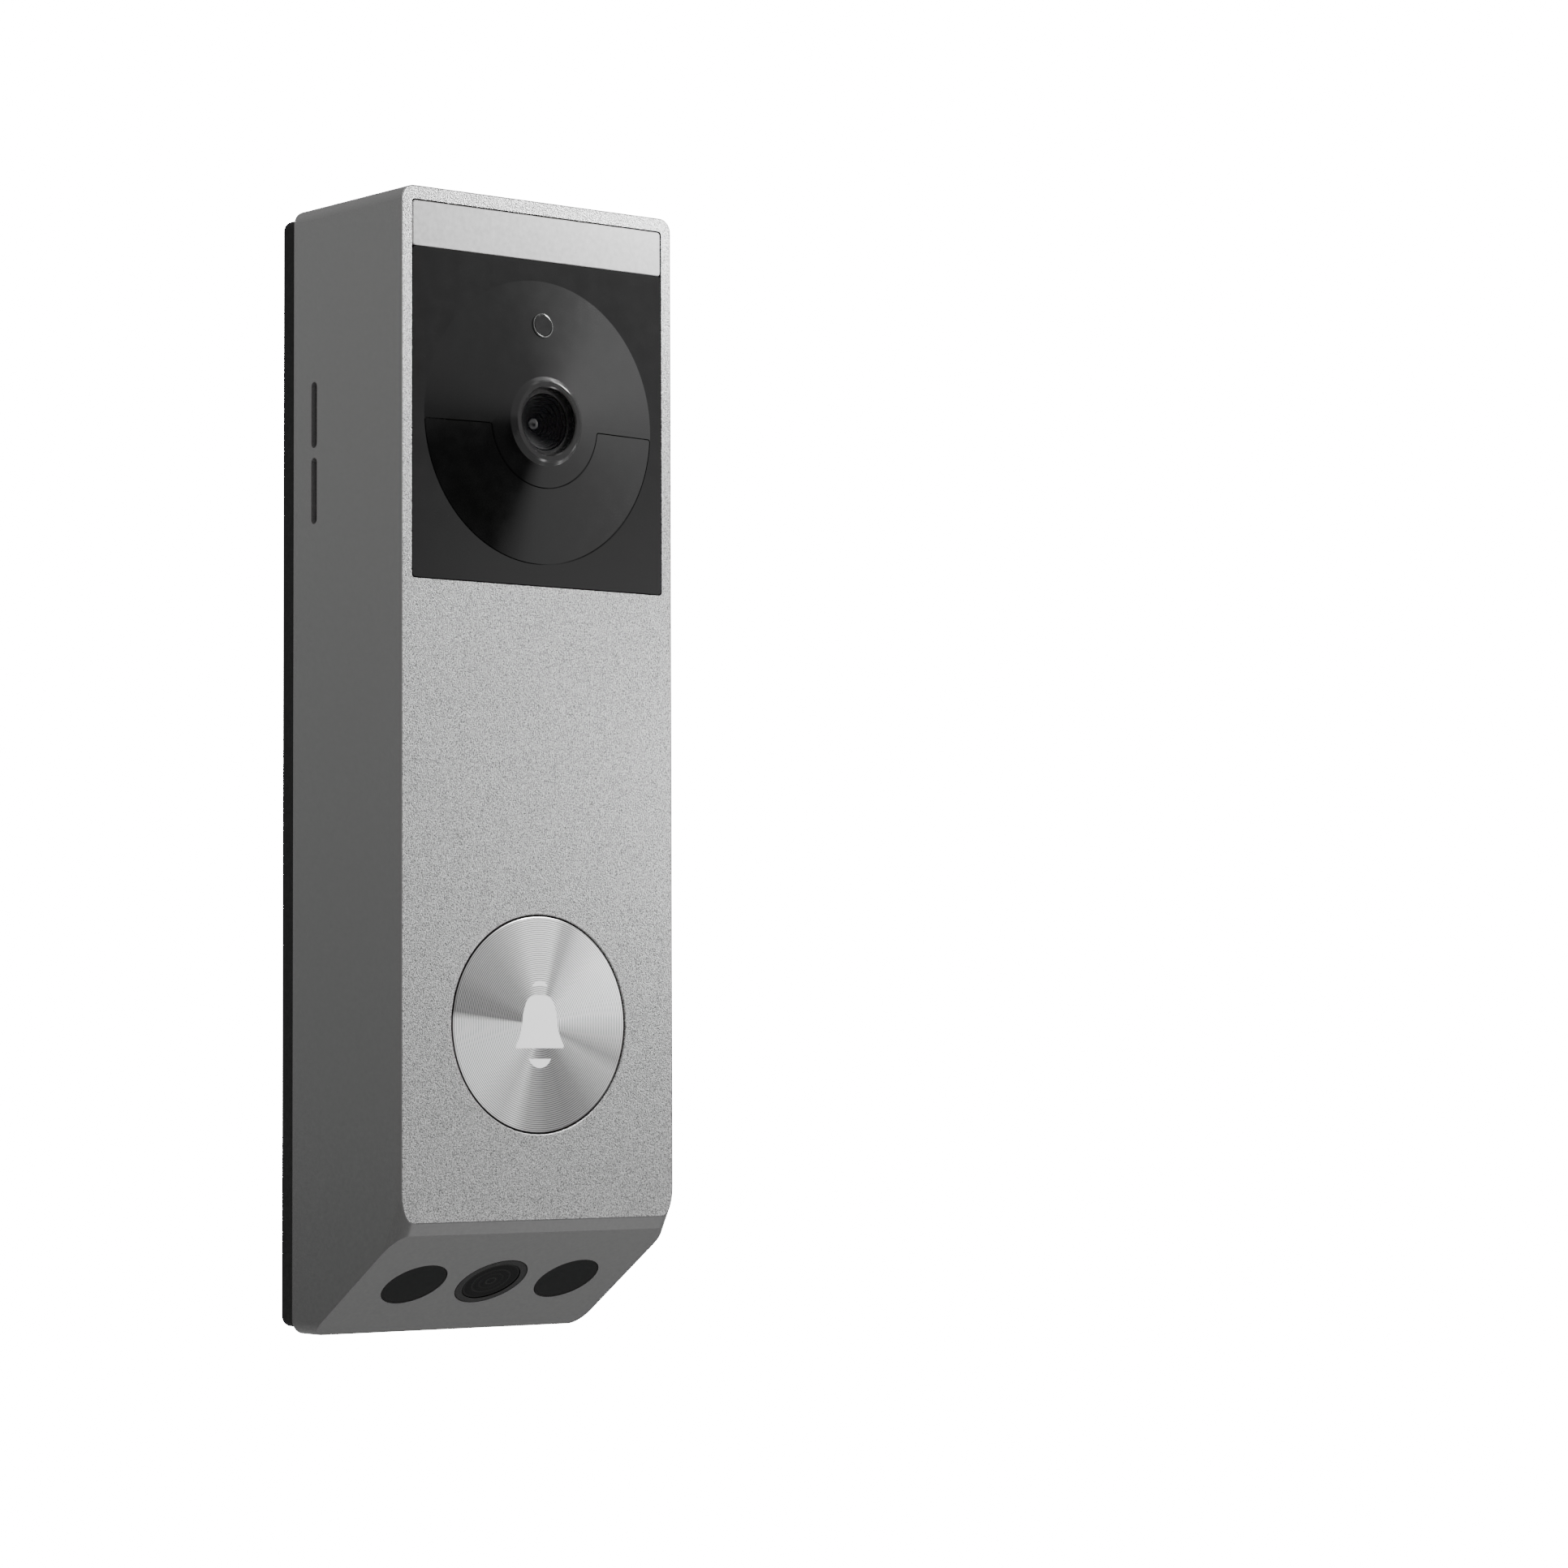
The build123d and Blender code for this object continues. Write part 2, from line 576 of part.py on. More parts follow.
with BuildPart() as ir_leds:
    for angle in (28.0, 62.0, 118.0, 152.0):
        x = 12.0 * math.cos(math.radians(angle))
        z = EYE_Z + 12.0 * math.sin(math.radians(angle))
        block(3.4, 3.4, base, base - 1.2, x, z)
        rod(1.3, base, base - 2.0, [(x, z)])
ir_leds.part.label = "ir_leds"

# ---------------------------------------------------------------- button
BUTTON_AXIS = Axis((0, FRONT, BUTTON_Z), (0, -1, 0))
BUTTON = lathe_section(BUTTON_Z)
ICON_T = 0.3


BELL_FLANK = (  # half-width and height, from the crown down to the rim
    (0.0, 3.93),
    (1.28, 3.8),
    (2.0, 3.39),
    (2.45, 2.6),
    (2.78, 1.6),
    (2.95, 0.4),
    (3.19, -0.95),
    (3.6, -2.0),
    (4.08, -2.9),
)


def bell_icon(depth):
    """Plain bell symbol: crown, body with a flared rim, and a clapper under it."""
    with BuildPart() as icon:
        with BuildSketch(facing(FRONT + depth, z=BUTTON_Z)):
            with BuildLine():
                Line((-3.95, -3.2), (3.95, -3.2))
                for side in (1, -1):
                    flank = [(side * x, z) for x, z in BELL_FLANK]
                    Spline(*flank, tangents=((side, 0), (side, -2)))
                    Line(flank[-1], (side * 3.95, -3.2))
            make_face()
            with BuildLine():
                Line((-1.87, -4.63), (1.87, -4.63))
                ThreePointArc((1.87, -4.63), (0, -5.87), (-1.87, -4.63))
            make_face()
            with BuildLine():
                ThreePointArc((-1.3, 5.1), (0, 5.85), (1.3, 5.1))
                ThreePointArc((1.3, 5.1), (0, 5.22), (-1.3, 5.1))
            make_face()
        extrude(amount=depth)
    return icon.part


with BuildPart() as button_cap:
    cap = ((0, -CAP_T), (BUTTON_R, -CAP_T), (BUTTON_R, -EDGE_BREAK), (BUTTON_R - EDGE_BREAK, 0), (0, 0))
    revolve(outline(BUTTON, *cap), axis=BUTTON_AXIS)
    add(bell_icon(ICON_T), mode=Mode.SUBTRACT)
button_cap.part.label = "button_cap"

with BuildPart() as button_icon:
    add(bell_icon(ICON_T))
button_icon.part.label = "button_icon"

with BuildPart() as button_carrier:
    rod(13.2, CAP_BACK + CARRIER_T, CAP_BACK, [(0, BUTTON_Z)])
    rod(STEM_R, STEM_BACK, CAP_BACK, [(0, BUTTON_Z)])
    rod(5.4, STEM_BACK, CAP_BACK + 1.4, [(0, BUTTON_Z)], Mode.SUBTRACT)
    rod(1.5, FRONT + 4.9, CAP_BACK, [(0, BUTTON_Z)])
button_carrier.part.label = "button_carrier"

with BuildPart() as button_clip:
    ring_back = STEM_BACK - 0.15
    rod(STEM_R + 1.6, ring_back, ring_back - 0.55, [(0, BUTTON_Z)])
    rod(STEM_R + 0.02, ring_back + 1, ring_back - 1, [(0, BUTTON_Z)], Mode.SUBTRACT)
    block(4.0, 6.0, ring_back + 1, ring_back - 1, z=BUTTON_Z + STEM_R + 1, mode=Mode.SUBTRACT)
button_clip.part.label = "button_clip"

with BuildPart() as button_seal:
    rod(12.4, INSIDE + 0.35, INSIDE, [(0, BUTTON_Z)])
    rod(STEM_R + RUN, INSIDE + 1, INSIDE - 1, [(0, BUTTON_Z)], Mode.SUBTRACT)
button_seal.part.label = "button_seal"

with BuildPart() as button_spring:
    spring_front = CAP_BACK + 1.45
    spring_back = BUTTON_BOARD_BACK - 1.05
    coil_height = spring_back - spring_front - 2 * SPRING_WIRE_R
    coil_centre = (0, spring_back - SPRING_WIRE_R, BUTTON_Z)
    with BuildLine():
        coil = Helix(
            coil_height / SPRING_TURNS, coil_height, SPRING_R, center=coil_centre, direction=(0, -1, 0)
        )
    with BuildSketch(Plane(origin=coil @ 0, z_dir=coil % 0)):
        Circle(SPRING_WIRE_R)
    sweep()
button_spring.part.label = "button_spring"

with BuildPart() as button_switch:
    switch_back = BUTTON_BOARD_BACK - 1.0
    block(6.0, 6.0, switch_back, switch_back - 2.4, z=BUTTON_Z)
    chamfer(button_switch.edges().filter_by(Axis.Y), 0.6)
    rod(1.6, switch_back, FRONT + 4.9 + BUTTON_TRAVEL + 0.05, [(0, BUTTON_Z)])
button_switch.part.label = "button_switch"

with BuildPart() as button_board:
    with BuildSketch(facing(BUTTON_BOARD_BACK, z=BUTTON_Z)):
        RectangleRounded(26.0, 24.0, 1.5)
        with GridLocations(22.0, 20.0, 2, 2):
            Circle(0.8, mode=Mode.SUBTRACT)
    extrude(amount=1.0)
    for angle in (90, 210, 330):
        x = 10.4 * math.cos(math.radians(angle))
        z = BUTTON_Z + 10.4 * math.sin(math.radians(angle))
        block(1.6, 1.6, switch_back + 0.1, switch_back - 0.6, x, z)
button_board.part.label = "button_board"

# ---------------------------------------------------------------- speaker and microphone
wall_face = -WIDTH / 2 + WALL
pocket_floor = wall_face - SLOT_POCKET[2]


def slot_plate(near, far, z, size, opening=None):
    """Rounded plate lying against the side wall between two x positions, with an optional slot."""
    plane = Plane(origin=(near, SLOT_Y, z), x_dir=(0, 0, 1), z_dir=(1, 0, 0))
    with BuildPart() as plate:
        with BuildSketch(plane):
            RectangleRounded(size[1], size[0], 0.9)
            if opening:
                SlotOverall(*opening, mode=Mode.SUBTRACT)
        extrude(amount=far - near)
    return plate.part


LINER = (SLOT_POCKET[0] - 2 * FIT, SLOT_POCKET[1] - 2 * FIT)

with BuildPart() as speaker_mesh:
    add(slot_plate(pocket_floor, pocket_floor + 0.2, SPEAKER_Z, LINER))
speaker_mesh.part.label = "speaker_mesh"

with BuildPart() as speaker_gasket:
    add(slot_plate(pocket_floor + 0.2, wall_face, SPEAKER_Z, LINER, (8.8, 2.4)))
speaker_gasket.part.label = "speaker_gasket"

with BuildPart() as vent_membrane:
    add(slot_plate(pocket_floor, pocket_floor + 0.3, MIC_Z, LINER))
vent_membrane.part.label = "vent_membrane"

with BuildPart() as microphone:
    add(slot_plate(pocket_floor + 0.3, wall_face, MIC_Z, LINER, (8.6, 2.2)))
    block(2.6, 7.0, SLOT_Y + 2.1, SLOT_Y - 2.1, wall_face + 1.3, MIC_Z)
    chamfer(microphone.faces().sort_by(Axis.X)[-1].edges(), 0.4)
microphone.part.label = "microphone"

with BuildPart() as speaker:
    block(4.8, 11.4, SLOT_Y + 2.3, SLOT_Y - 4.6, wall_face + 2.45, SPEAKER_Z)
    chamfer(speaker.edges().filter_by(Axis.X), 0.8)
    with Locations(Location((wall_face + 4.85, SLOT_Y - 1.15, SPEAKER_Z), (0, 90, 0))):
        Cylinder(2.4, 0.6, mode=Mode.SUBTRACT)
speaker.part.label = "speaker"

# ---------------------------------------------------------------- main board
with BuildPart() as main_board:
    board_z = (BOARD_BOTTOM + BOARD_TOP) / 2
    with BuildSketch(facing(BOARD_BACK, z=board_z)):
        RectangleRounded(2 * BOARD_HALF, BOARD_TOP - BOARD_BOTTOM, 1.0)
    extrude(amount=BOARD_BACK - BOARD_FRONT)
    rod(1.2, BOARD_BACK + 1, BOARD_FRONT - 1, BOARD_SCREWS, Mode.SUBTRACT)
    # processor, memory and power chips on the front
    block(11.0, 11.0, BOARD_FRONT, BOARD_FRONT - 1.2, z=62.0)
    block(8.0, 10.0, BOARD_FRONT, BOARD_FRONT - 0.9, -7.0, 31.0)
    for x in (3.0, 7.0, 11.0):
        block(2.6, 3.2, BOARD_FRONT, BOARD_FRONT - 1.4, x, 31.0)
main_board.part.label = "main_board"

with BuildPart() as shield_can:
    block(13.0, 11.0, BOARD_BACK + 1.8, BOARD_BACK, z=60.5)
    fillet(shield_can.edges().filter_by(Axis.Y), 0.6)
    chamfer(shield_can.faces().sort_by(Axis.Y)[-1].edges(), 0.25)
shield_can.part.label = "shield_can"

with BuildPart() as radio_module:
    span_block((-9.0, 9.0), (46.5, 53.0), BOARD_BACK + 0.8, BOARD_BACK)
    span_block((-8.4, 4.0), (47.0, 52.5), BOARD_BACK + 2.2, BOARD_BACK + 0.8)
radio_module.part.label = "radio_module"

with BuildPart() as antenna:
    with BuildSketch(Plane(origin=(INNER_HALF - 0.3, -17.0, -1.0), x_dir=(0, 0, 1), z_dir=(1, 0, 0))):
        RectangleRounded(20.0, 9.0, 1.0)
        with GridLocations(6.0, 0, 3, 1):
            Rectangle(1.2, 6.0, mode=Mode.SUBTRACT)
    extrude(amount=0.25)
antenna.part.label = "antenna"

with BuildPart() as usb_socket:
    socket_plane = facing(LEDGE, PORT_X, PORT_Z)
    with BuildSketch(socket_plane):
        RectangleRounded(9.0, 3.3, 1.5)
    extrude(amount=LEDGE - BOARD_BACK)
    with BuildSketch(socket_plane):
        RectangleRounded(8.3, 2.6, 1.2)
    extrude(amount=4.6, mode=Mode.SUBTRACT)
    block(6.6, 0.7, LEDGE - 0.6, LEDGE - 4.8, PORT_X, PORT_Z)
usb_socket.part.label = "usb_socket"

with BuildPart() as reset_switch:
    block(4.6, 4.6, BOARD_BACK + 2.8, BOARD_BACK, PORT_X, RESET_Z)
    rod(1.2, BACK - 3.95, BOARD_BACK, [(PORT_X, RESET_Z)])
reset_switch.part.label = "reset_switch"

with BuildPart() as terminal_block:
    block(8.0, 20.0, COVER_IN - 0.1, BOARD_BACK, TERMINAL_X, sum(TERMINAL_ZS) / 2)
    rod(1.5, COVER_IN + 1, COVER_IN - 4.6, [(TERMINAL_X, z) for z in TERMINAL_ZS], Mode.SUBTRACT)
terminal_block.part.label = "terminal_block"

with BuildPart() as terminal_screws:
    centres = [(TERMINAL_X, z) for z in TERMINAL_ZS]
    rod(2.6, BACK - 0.15, BACK - 0.95, centres)
    chamfer(terminal_screws.faces().group_by(Axis.Y)[-1].edges(), 0.25)
    rod(1.4, BACK - 0.5, COVER_IN - 4.2, centres)
    for x, z in centres:
        block(4.0, 0.7, BACK, BACK - 0.6, x, z, Mode.SUBTRACT)
        block(0.7, 4.0, BACK, BACK - 0.6, x, z, Mode.SUBTRACT)
terminal_screws.part.label = "terminal_screws"

with BuildPart() as board_screws:
    rod(1.8, BOARD_BACK + 1.2, BOARD_BACK, BOARD_SCREWS)
    rod(BOARD_THREAD_R - 0.05, BOARD_BACK + 0.2, BOARD_FRONT - 4.6, BOARD_SCREWS)
    for x, z in BOARD_SCREWS:
        block(2.2, 0.5, BOARD_BACK + 1.3, BOARD_BACK + 0.6, x, z, Mode.SUBTRACT)
        block(0.5, 2.2, BOARD_BACK + 1.3, BOARD_BACK + 0.6, x, z, Mode.SUBTRACT)
board_screws.part.label = "board_screws"

# ---------------------------------------------------------------- battery
BATTERY_TOP = BATTERY_Z + BATTERY[2] / 2
BATTERY_BOTTOM = BATTERY_Z - BATTERY[2] / 2
FRAME_T = 0.9

with BuildPart() as battery_pack:
    block(BATTERY[0], BATTERY[2], BATTERY_BACK, BATTERY_FRONT, z=BATTERY_Z)
    fillet(battery_pack.edges().filter_by(Axis.Z), 2.4)
    fillet(battery_pack.faces().group_by(Axis.Z)[-1].edges(), 0.8)
    fillet(battery_pack.faces().group_by(Axis.Z)[0].edges(), 0.8)
battery_pack.part.label = "battery_pack"

with BuildPart() as battery_frame:
    half = BATTERY[0] / 2 + FIT
    floor_front = BATTERY_FRONT - FIT - FRAME_T
    zone = (BATTERY_BOTTOM - FIT, BATTERY_TOP + FIT)
    outer_x = (-half - FRAME_T, half + FRAME_T)
    outer_z = (zone[0] - FRAME_T, zone[1] + FRAME_T)
    span_block(outer_x, outer_z, -13.0, floor_front)
    span_block((-half, half), zone, -12.0, floor_front + FRAME_T, Mode.SUBTRACT)
    # the button board sits in the opening of the floor
    span_block((-14.5, 14.5), (zone[0] + 1.5, -17.5), -12.0, floor_front - 1, Mode.SUBTRACT)
    # legs that stand on the front wall of the housing
    for x in (-half + 1.0, half - 1.0):
        for z in (zone[0] + 1.5, zone[1] - 1.5):
            block(2.6, 3.6, floor_front + 0.2, INSIDE, x, z)
    # notch for the leads
    block(8.0, 4.0, -12.0, -17.0, -2.0, outer_z[1], Mode.SUBTRACT)
battery_frame.part.label = "battery_frame"

with BuildPart() as battery_foam:
    for x in (-6.4, 6.4):
        block(9.6, 34.0, COVER_IN, BATTERY_BACK, x, BATTERY_Z)
battery_foam.part.label = "battery_foam"

with BuildPart() as battery_lead:
    plug_z = (15.6, 21.4)
    lead_y = BOARD_FRONT - 1.7
    span_block((-5.0, 1.0), plug_z, lead_y + 1.4, lead_y - 1.4)
    chamfer(battery_lead.edges().filter_by(Axis.Z), 0.4)
    for x in (-3.4, -0.6):
        start = (x, -14.2, BATTERY_TOP + 0.3)
        finish = (x, lead_y, plug_z[0] + 0.5)
        with BuildLine() as wire:
            Spline(start, finish, tangents=((0, -0.4, 1), (0, 0, 1)))
        with BuildSketch(Plane(origin=start, z_dir=wire.line % 0)):
            Circle(0.65)
        sweep(path=wire.line)
battery_lead.part.label = "battery_lead"

# ---------------------------------------------------------------- chin
with BuildPart() as chin_bezel:
    with BuildSketch(chin_plane(1.15)):
        Circle(CHIN_LENS_R)
        Circle(3.55, mode=Mode.SUBTRACT)
    extrude(amount=1.15)
    with BuildSketch(chin_plane(0.55)):
        Circle(4.25)
    extrude(amount=1.0, mode=Mode.SUBTRACT)
    ring_edges = chin_bezel.edges().filter_by(GeomType.CIRCLE)
    chamfer(ring_edges.filter_by(lambda e: e.radius > 5.0).sort_by(Axis.Z)[0], EDGE_BREAK)
chin_bezel.part.label = "chin_bezel"

with BuildPart() as chin_glass:
    with BuildSketch(chin_plane(0.5)):
        Circle(4.15)
    extrude(amount=0.4)
chin_glass.part.label = "chin_glass"

with BuildPart() as chin_lens:
    with BuildSketch(chin_plane(CHIN_BOARD_DEPTH)):
        RectangleRounded(9.0, 9.0, 0.8)
    extrude(amount=3.6)
    with BuildSketch(chin_plane(CHIN_BOARD_DEPTH - 3.0)):
        Circle(3.3)
    extrude(amount=CHIN_BOARD_DEPTH - 3.0 - 1.3)
    with BuildSketch(chin_plane(1.6)):
        Circle(2.2)
    extrude(amount=1.0, taper=20, mode=Mode.SUBTRACT)
chin_lens.part.label = "chin_lens"

with BuildPart() as chin_windows:
    with BuildSketch(chin_plane(0.95)):
        with Locations((-CHIN_PITCH, 0), (CHIN_PITCH, 0)):
            Circle(CHIN_WINDOW_R - FIT / 2)
    extrude(amount=0.9)
chin_windows.part.label = "chin_windows"

with BuildPart() as chin_leds:
    with BuildSketch(chin_plane(CHIN_BOARD_DEPTH)):
        with Locations((-CHIN_PITCH, 0), (CHIN_PITCH, 0)):
            Circle(2.2)
    extrude(amount=4.2)
    fillet(chin_leds.edges().filter_by(GeomType.CIRCLE).group_by(Axis.Z)[0], 1.6)
chin_leds.part.label = "chin_leds"

with BuildPart() as chin_board:
    with BuildSketch(chin_plane(CHIN_BOARD_DEPTH + 1.0)):
        RectangleRounded(30.4, 12.6, 1.0)
        with GridLocations(2 * CHIN_POST[0], 2 * CHIN_POST[1], 2, 2):
            Circle(0.7, mode=Mode.SUBTRACT)
    extrude(amount=1.0)
chin_board.part.label = "chin_board"

# ---------------------------------------------------------------- back of the unit
with BuildPart() as rear_cover:
    cover_size = (WIDTH - 2 * RIM - 2 * FIT, HEIGHT - 2 * RIM - 2 * FIT)
    with BuildSketch(facing(BACK)):
        RectangleRounded(*cover_size, CORNER_R - RIM - FIT)
    extrude(amount=COVER_T)
    pocket_floor_y = BACK - HOOK_REACH - 0.4
    for x in (-HOOK_X, HOOK_X):
        for z in HOOK_ZS:
            span_block(*hook_pocket(x, z, POCKET_T, BACK - 0.5, pocket_floor_y - POCKET_T, 4.3))
            span_block(
                *hook_pocket(x, z, 0, BACK - SKIN_T, pocket_floor_y, 4.3), mode=Mode.SUBTRACT
            )
            span_block(*hook_pocket(x, z, 0, BACK + 1, BACK - SKIN_T, 0.1), mode=Mode.SUBTRACT)
    # countersunk holes
    rod(1.25, BACK + 1, COVER_IN - 1, COVER_SCREWS, Mode.SUBTRACT)
    rod(2.1, BACK + 1, BACK - 1.1, COVER_SCREWS, Mode.SUBTRACT)
    # service port, reset hole and wiring terminals
    with BuildSketch(facing(BACK, PORT_X, PORT_Z)):
        RectangleRounded(13.0, 7.4, 3.0)
    extrude(amount=1.1, mode=Mode.SUBTRACT)
    with BuildSketch(facing(BACK, PORT_X, PORT_Z)):
        RectangleRounded(10.0, 4.4, 2.1)
    extrude(amount=COVER_T + 1, mode=Mode.SUBTRACT)
    rod(1.35 + RUN, BACK + 1, COVER_IN - 1, [(PORT_X, RESET_Z)], Mode.SUBTRACT)
    terminals = [(TERMINAL_X, z) for z in TERMINAL_ZS]
    rod(3.2, BACK + 1, BACK - 1.0, terminals, Mode.SUBTRACT)
    rod(1.5, BACK + 1, COVER_IN - 1, terminals, Mode.SUBTRACT)
rear_cover.part.label = "rear_cover"

with BuildPart() as rear_seal:
    with BuildSketch(facing(COVER_IN)):
        RectangleRounded(*cover_size, CORNER_R - RIM - FIT)
        RectangleRounded(
            2 * INNER_HALF + 2 * FIT, HEIGHT - 2 * WALL + 2 * FIT, CORNER_R / 2, mode=Mode.SUBTRACT
        )
    extrude(amount=COVER_IN - LEDGE)
rear_seal.part.label = "rear_seal"

with BuildPart() as cover_screws:
    rod(1.95, BACK - 0.1, BACK - 1.05, COVER_SCREWS)
    chamfer(cover_screws.faces().group_by(Axis.Y)[-1].edges(), 0.2)
    rod(COVER_THREAD_R - 0.05, BACK - 0.5, COVER_IN - 5.6, COVER_SCREWS)
    for x, z in COVER_SCREWS:
        block(2.4, 0.6, BACK, BACK - 0.7, x, z, Mode.SUBTRACT)
        block(0.6, 2.4, BACK, BACK - 0.7, x, z, Mode.SUBTRACT)
cover_screws.part.label = "cover_screws"

with BuildPart() as usb_bung:
    with BuildSketch(facing(BACK - 0.1, PORT_X, PORT_Z)):
        RectangleRounded(12.3, 6.7, 2.7)
    extrude(amount=0.9)
    with BuildSketch(facing(BACK - 0.9, PORT_X, PORT_Z)):
        RectangleRounded(9.3, 3.7, 1.8)
    extrude(amount=1.2)
    with BuildSketch(facing(BACK - 0.1, PORT_X, PORT_Z)):
        SlotOverall(7.0, 1.0)
    extrude(amount=0.3, mode=Mode.SUBTRACT)
usb_bung.part.label = "usb_bung"

with BuildPart() as reset_button:
    rod(1.35, BACK - 0.3, BACK - 3.4, [(PORT_X, RESET_Z)])
    rod(2.4, COVER_IN - 0.1, COVER_IN - 0.8, [(PORT_X, RESET_Z)])
    chamfer(reset_button.faces().sort_by(Axis.Y)[-1].edges(), 0.3)
reset_button.part.label = "reset_button"

# ---------------------------------------------------------------- export
PARTS = [
    mounting_plate, housing, front_panel, panel_tape, trim_bar, camera_cover, pir_window,
    lens_bezel, lens_glass, lens_barrel, front_element, lens_holder, image_sensor, camera_board,
    board_link, daylight_pipe, sensor_board, pir_sensors, ir_leds, button_cap, button_icon,
    button_carrier, button_clip, button_seal, button_spring, button_switch, button_board,
    speaker_mesh, speaker_gasket, vent_membrane, microphone, speaker, main_board, shield_can,
    radio_module, antenna, usb_socket, reset_switch, terminal_block, terminal_screws,
    board_screws, battery_pack, battery_frame, battery_foam, battery_lead, chin_bezel,
    chin_glass, chin_lens, chin_windows, chin_leds, chin_board, rear_cover, rear_seal,
    cover_screws, usb_bung, reset_button,
]

os.makedirs("parts", exist_ok=True)
for piece in PARTS:
    export_step(piece.part, f"parts/{piece.part.label}.step")
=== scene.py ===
"""Video doorbell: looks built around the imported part. Lengths are in metres, the row's own frame."""

import math
import json
import bpy
import bmesh
from mathutils import Matrix, Vector


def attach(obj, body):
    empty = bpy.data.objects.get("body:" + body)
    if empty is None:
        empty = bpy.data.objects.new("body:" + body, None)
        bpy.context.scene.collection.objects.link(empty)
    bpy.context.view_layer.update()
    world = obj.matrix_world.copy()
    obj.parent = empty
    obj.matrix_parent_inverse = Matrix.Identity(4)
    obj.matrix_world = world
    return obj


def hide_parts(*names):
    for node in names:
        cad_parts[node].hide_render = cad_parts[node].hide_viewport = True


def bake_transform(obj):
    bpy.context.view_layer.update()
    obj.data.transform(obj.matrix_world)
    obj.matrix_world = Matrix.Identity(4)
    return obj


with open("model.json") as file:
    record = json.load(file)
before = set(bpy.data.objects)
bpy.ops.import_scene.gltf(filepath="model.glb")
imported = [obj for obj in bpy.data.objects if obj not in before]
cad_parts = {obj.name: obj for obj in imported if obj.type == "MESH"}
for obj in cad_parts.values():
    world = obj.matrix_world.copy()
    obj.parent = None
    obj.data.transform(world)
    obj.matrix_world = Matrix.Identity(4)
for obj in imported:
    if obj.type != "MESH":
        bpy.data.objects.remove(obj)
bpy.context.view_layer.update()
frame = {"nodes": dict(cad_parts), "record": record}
nodes = frame["nodes"]
MM = 0.001

# ---------------------------------------------------------------- dimensions, in millimetres
FRONT = -29.2
EYE_Z = 46.55
BUTTON_Z = -34.85
DOME_R, DOME_RISE, SKIRT_R = 19.33, 1.6, 6.1
DAYLIGHT_R = 13.15  # daylight sensor, above the lens

# painted light: the bell icon is made to glow a little, though it holds no lamp
ICON_PAINTED_GLOW = 0.35
TURN_STEPS = 96  # sides of a turned piece
WIRE_SIDES = 6
BEVEL_ANGLE = 30  # degrees; sharper edges are softened


# ---------------------------------------------------------------- node helpers
class Nodes:
    """Small wrapper that makes one material and wires its nodes."""

    def __init__(self, name):
        self.mat = bpy.data.materials.new(name)
        self.mat.use_nodes = True
        self.tree = self.mat.node_tree
        self.bsdf = self.tree.nodes["Principled BSDF"]
        self.coords = self.tree.nodes.new("ShaderNodeTexCoord")

    def add(self, kind, **values):
        node = self.tree.nodes.new(kind)
        for key, value in values.items():
            if key in node.inputs:
                node.inputs[key].default_value = value
            else:
                setattr(node, key, value)
        return node

    def link(self, out, into):
        self.tree.links.new(out, into)
        return into

    def set(self, **values):
        for key, value in values.items():
            self.bsdf.inputs[key.replace("_", " ")].default_value = value

    def noise(self, scale, detail=2.0):
        node = self.add("ShaderNodeTexNoise")
        node.inputs["Scale"].default_value = scale
        node.inputs["Detail"].default_value = detail
        self.link(self.coords.outputs["Object"], node.inputs["Vector"])
        return node.outputs["Fac"]

    def ramp(self, fac, *stops):
        node = self.add("ShaderNodeValToRGB")
        elements = node.color_ramp.elements
        while len(elements) < len(stops):
            elements.new(0.5)
        for element, (position, colour) in zip(elements, stops):
            element.position = position
            element.color = (*colour, 1.0)
        self.link(fac, node.inputs["Fac"])
        return node.outputs["Color"]

    def math(self, operation, *values):
        node = self.add("ShaderNodeMath", operation=operation)
        for slot, value in zip(node.inputs, values):
            if isinstance(value, (int, float)):
                slot.default_value = value
            else:
                self.link(value, slot)
        return node.outputs[0]

    def bump(self, height, strength, distance):
        node = self.add("ShaderNodeBump")
        node.inputs["Strength"].default_value = strength
        node.inputs["Distance"].default_value = distance
        self.link(height, node.inputs["Height"])
        return node.outputs["Normal"]


def grey(value):
    """Linear grey from an 8-bit display value."""
    c = value / 255
    c = c / 12.92 if c <= 0.04045 else ((c + 0.055) / 1.055) ** 2.4
    return (c, c, c)


def grained(name, dark, light, grain, metallic, roughness, bump, distance, specular=0.5):
    """Surface whose colour, roughness and relief vary with one fine noise."""
    m = Nodes(name)
    fac = m.noise(grain, 3.0)
    m.link(m.ramp(fac, (0.3, dark), (0.7, light)), m.bsdf.inputs["Base Color"])
    spread = m.add("ShaderNodeMapRange")
    spread.inputs["To Min"].default_value = roughness - 0.06
    spread.inputs["To Max"].default_value = roughness + 0.06
    m.link(fac, spread.inputs["Value"])
    m.link(spread.outputs["Result"], m.bsdf.inputs["Roughness"])
    m.link(m.bump(fac, bump, distance), m.bsdf.inputs["Normal"])
    m.set(Metallic=metallic, Specular_IOR_Level=specular)
    return m.mat


def glassy(name, tint, roughness=0.02, alpha=0.25):
    """Thin coated glass: almost clear, with a faint dark reflecting coating."""
    m = Nodes(name)
    fac = m.noise(90.0, 2.0)
    m.link(m.ramp(fac, (0.3, tint), (0.7, tuple(c * 0.8 for c in tint))), m.bsdf.inputs["Base Color"])
    m.set(Roughness=roughness, IOR=1.45, Alpha=alpha)
    return m.mat


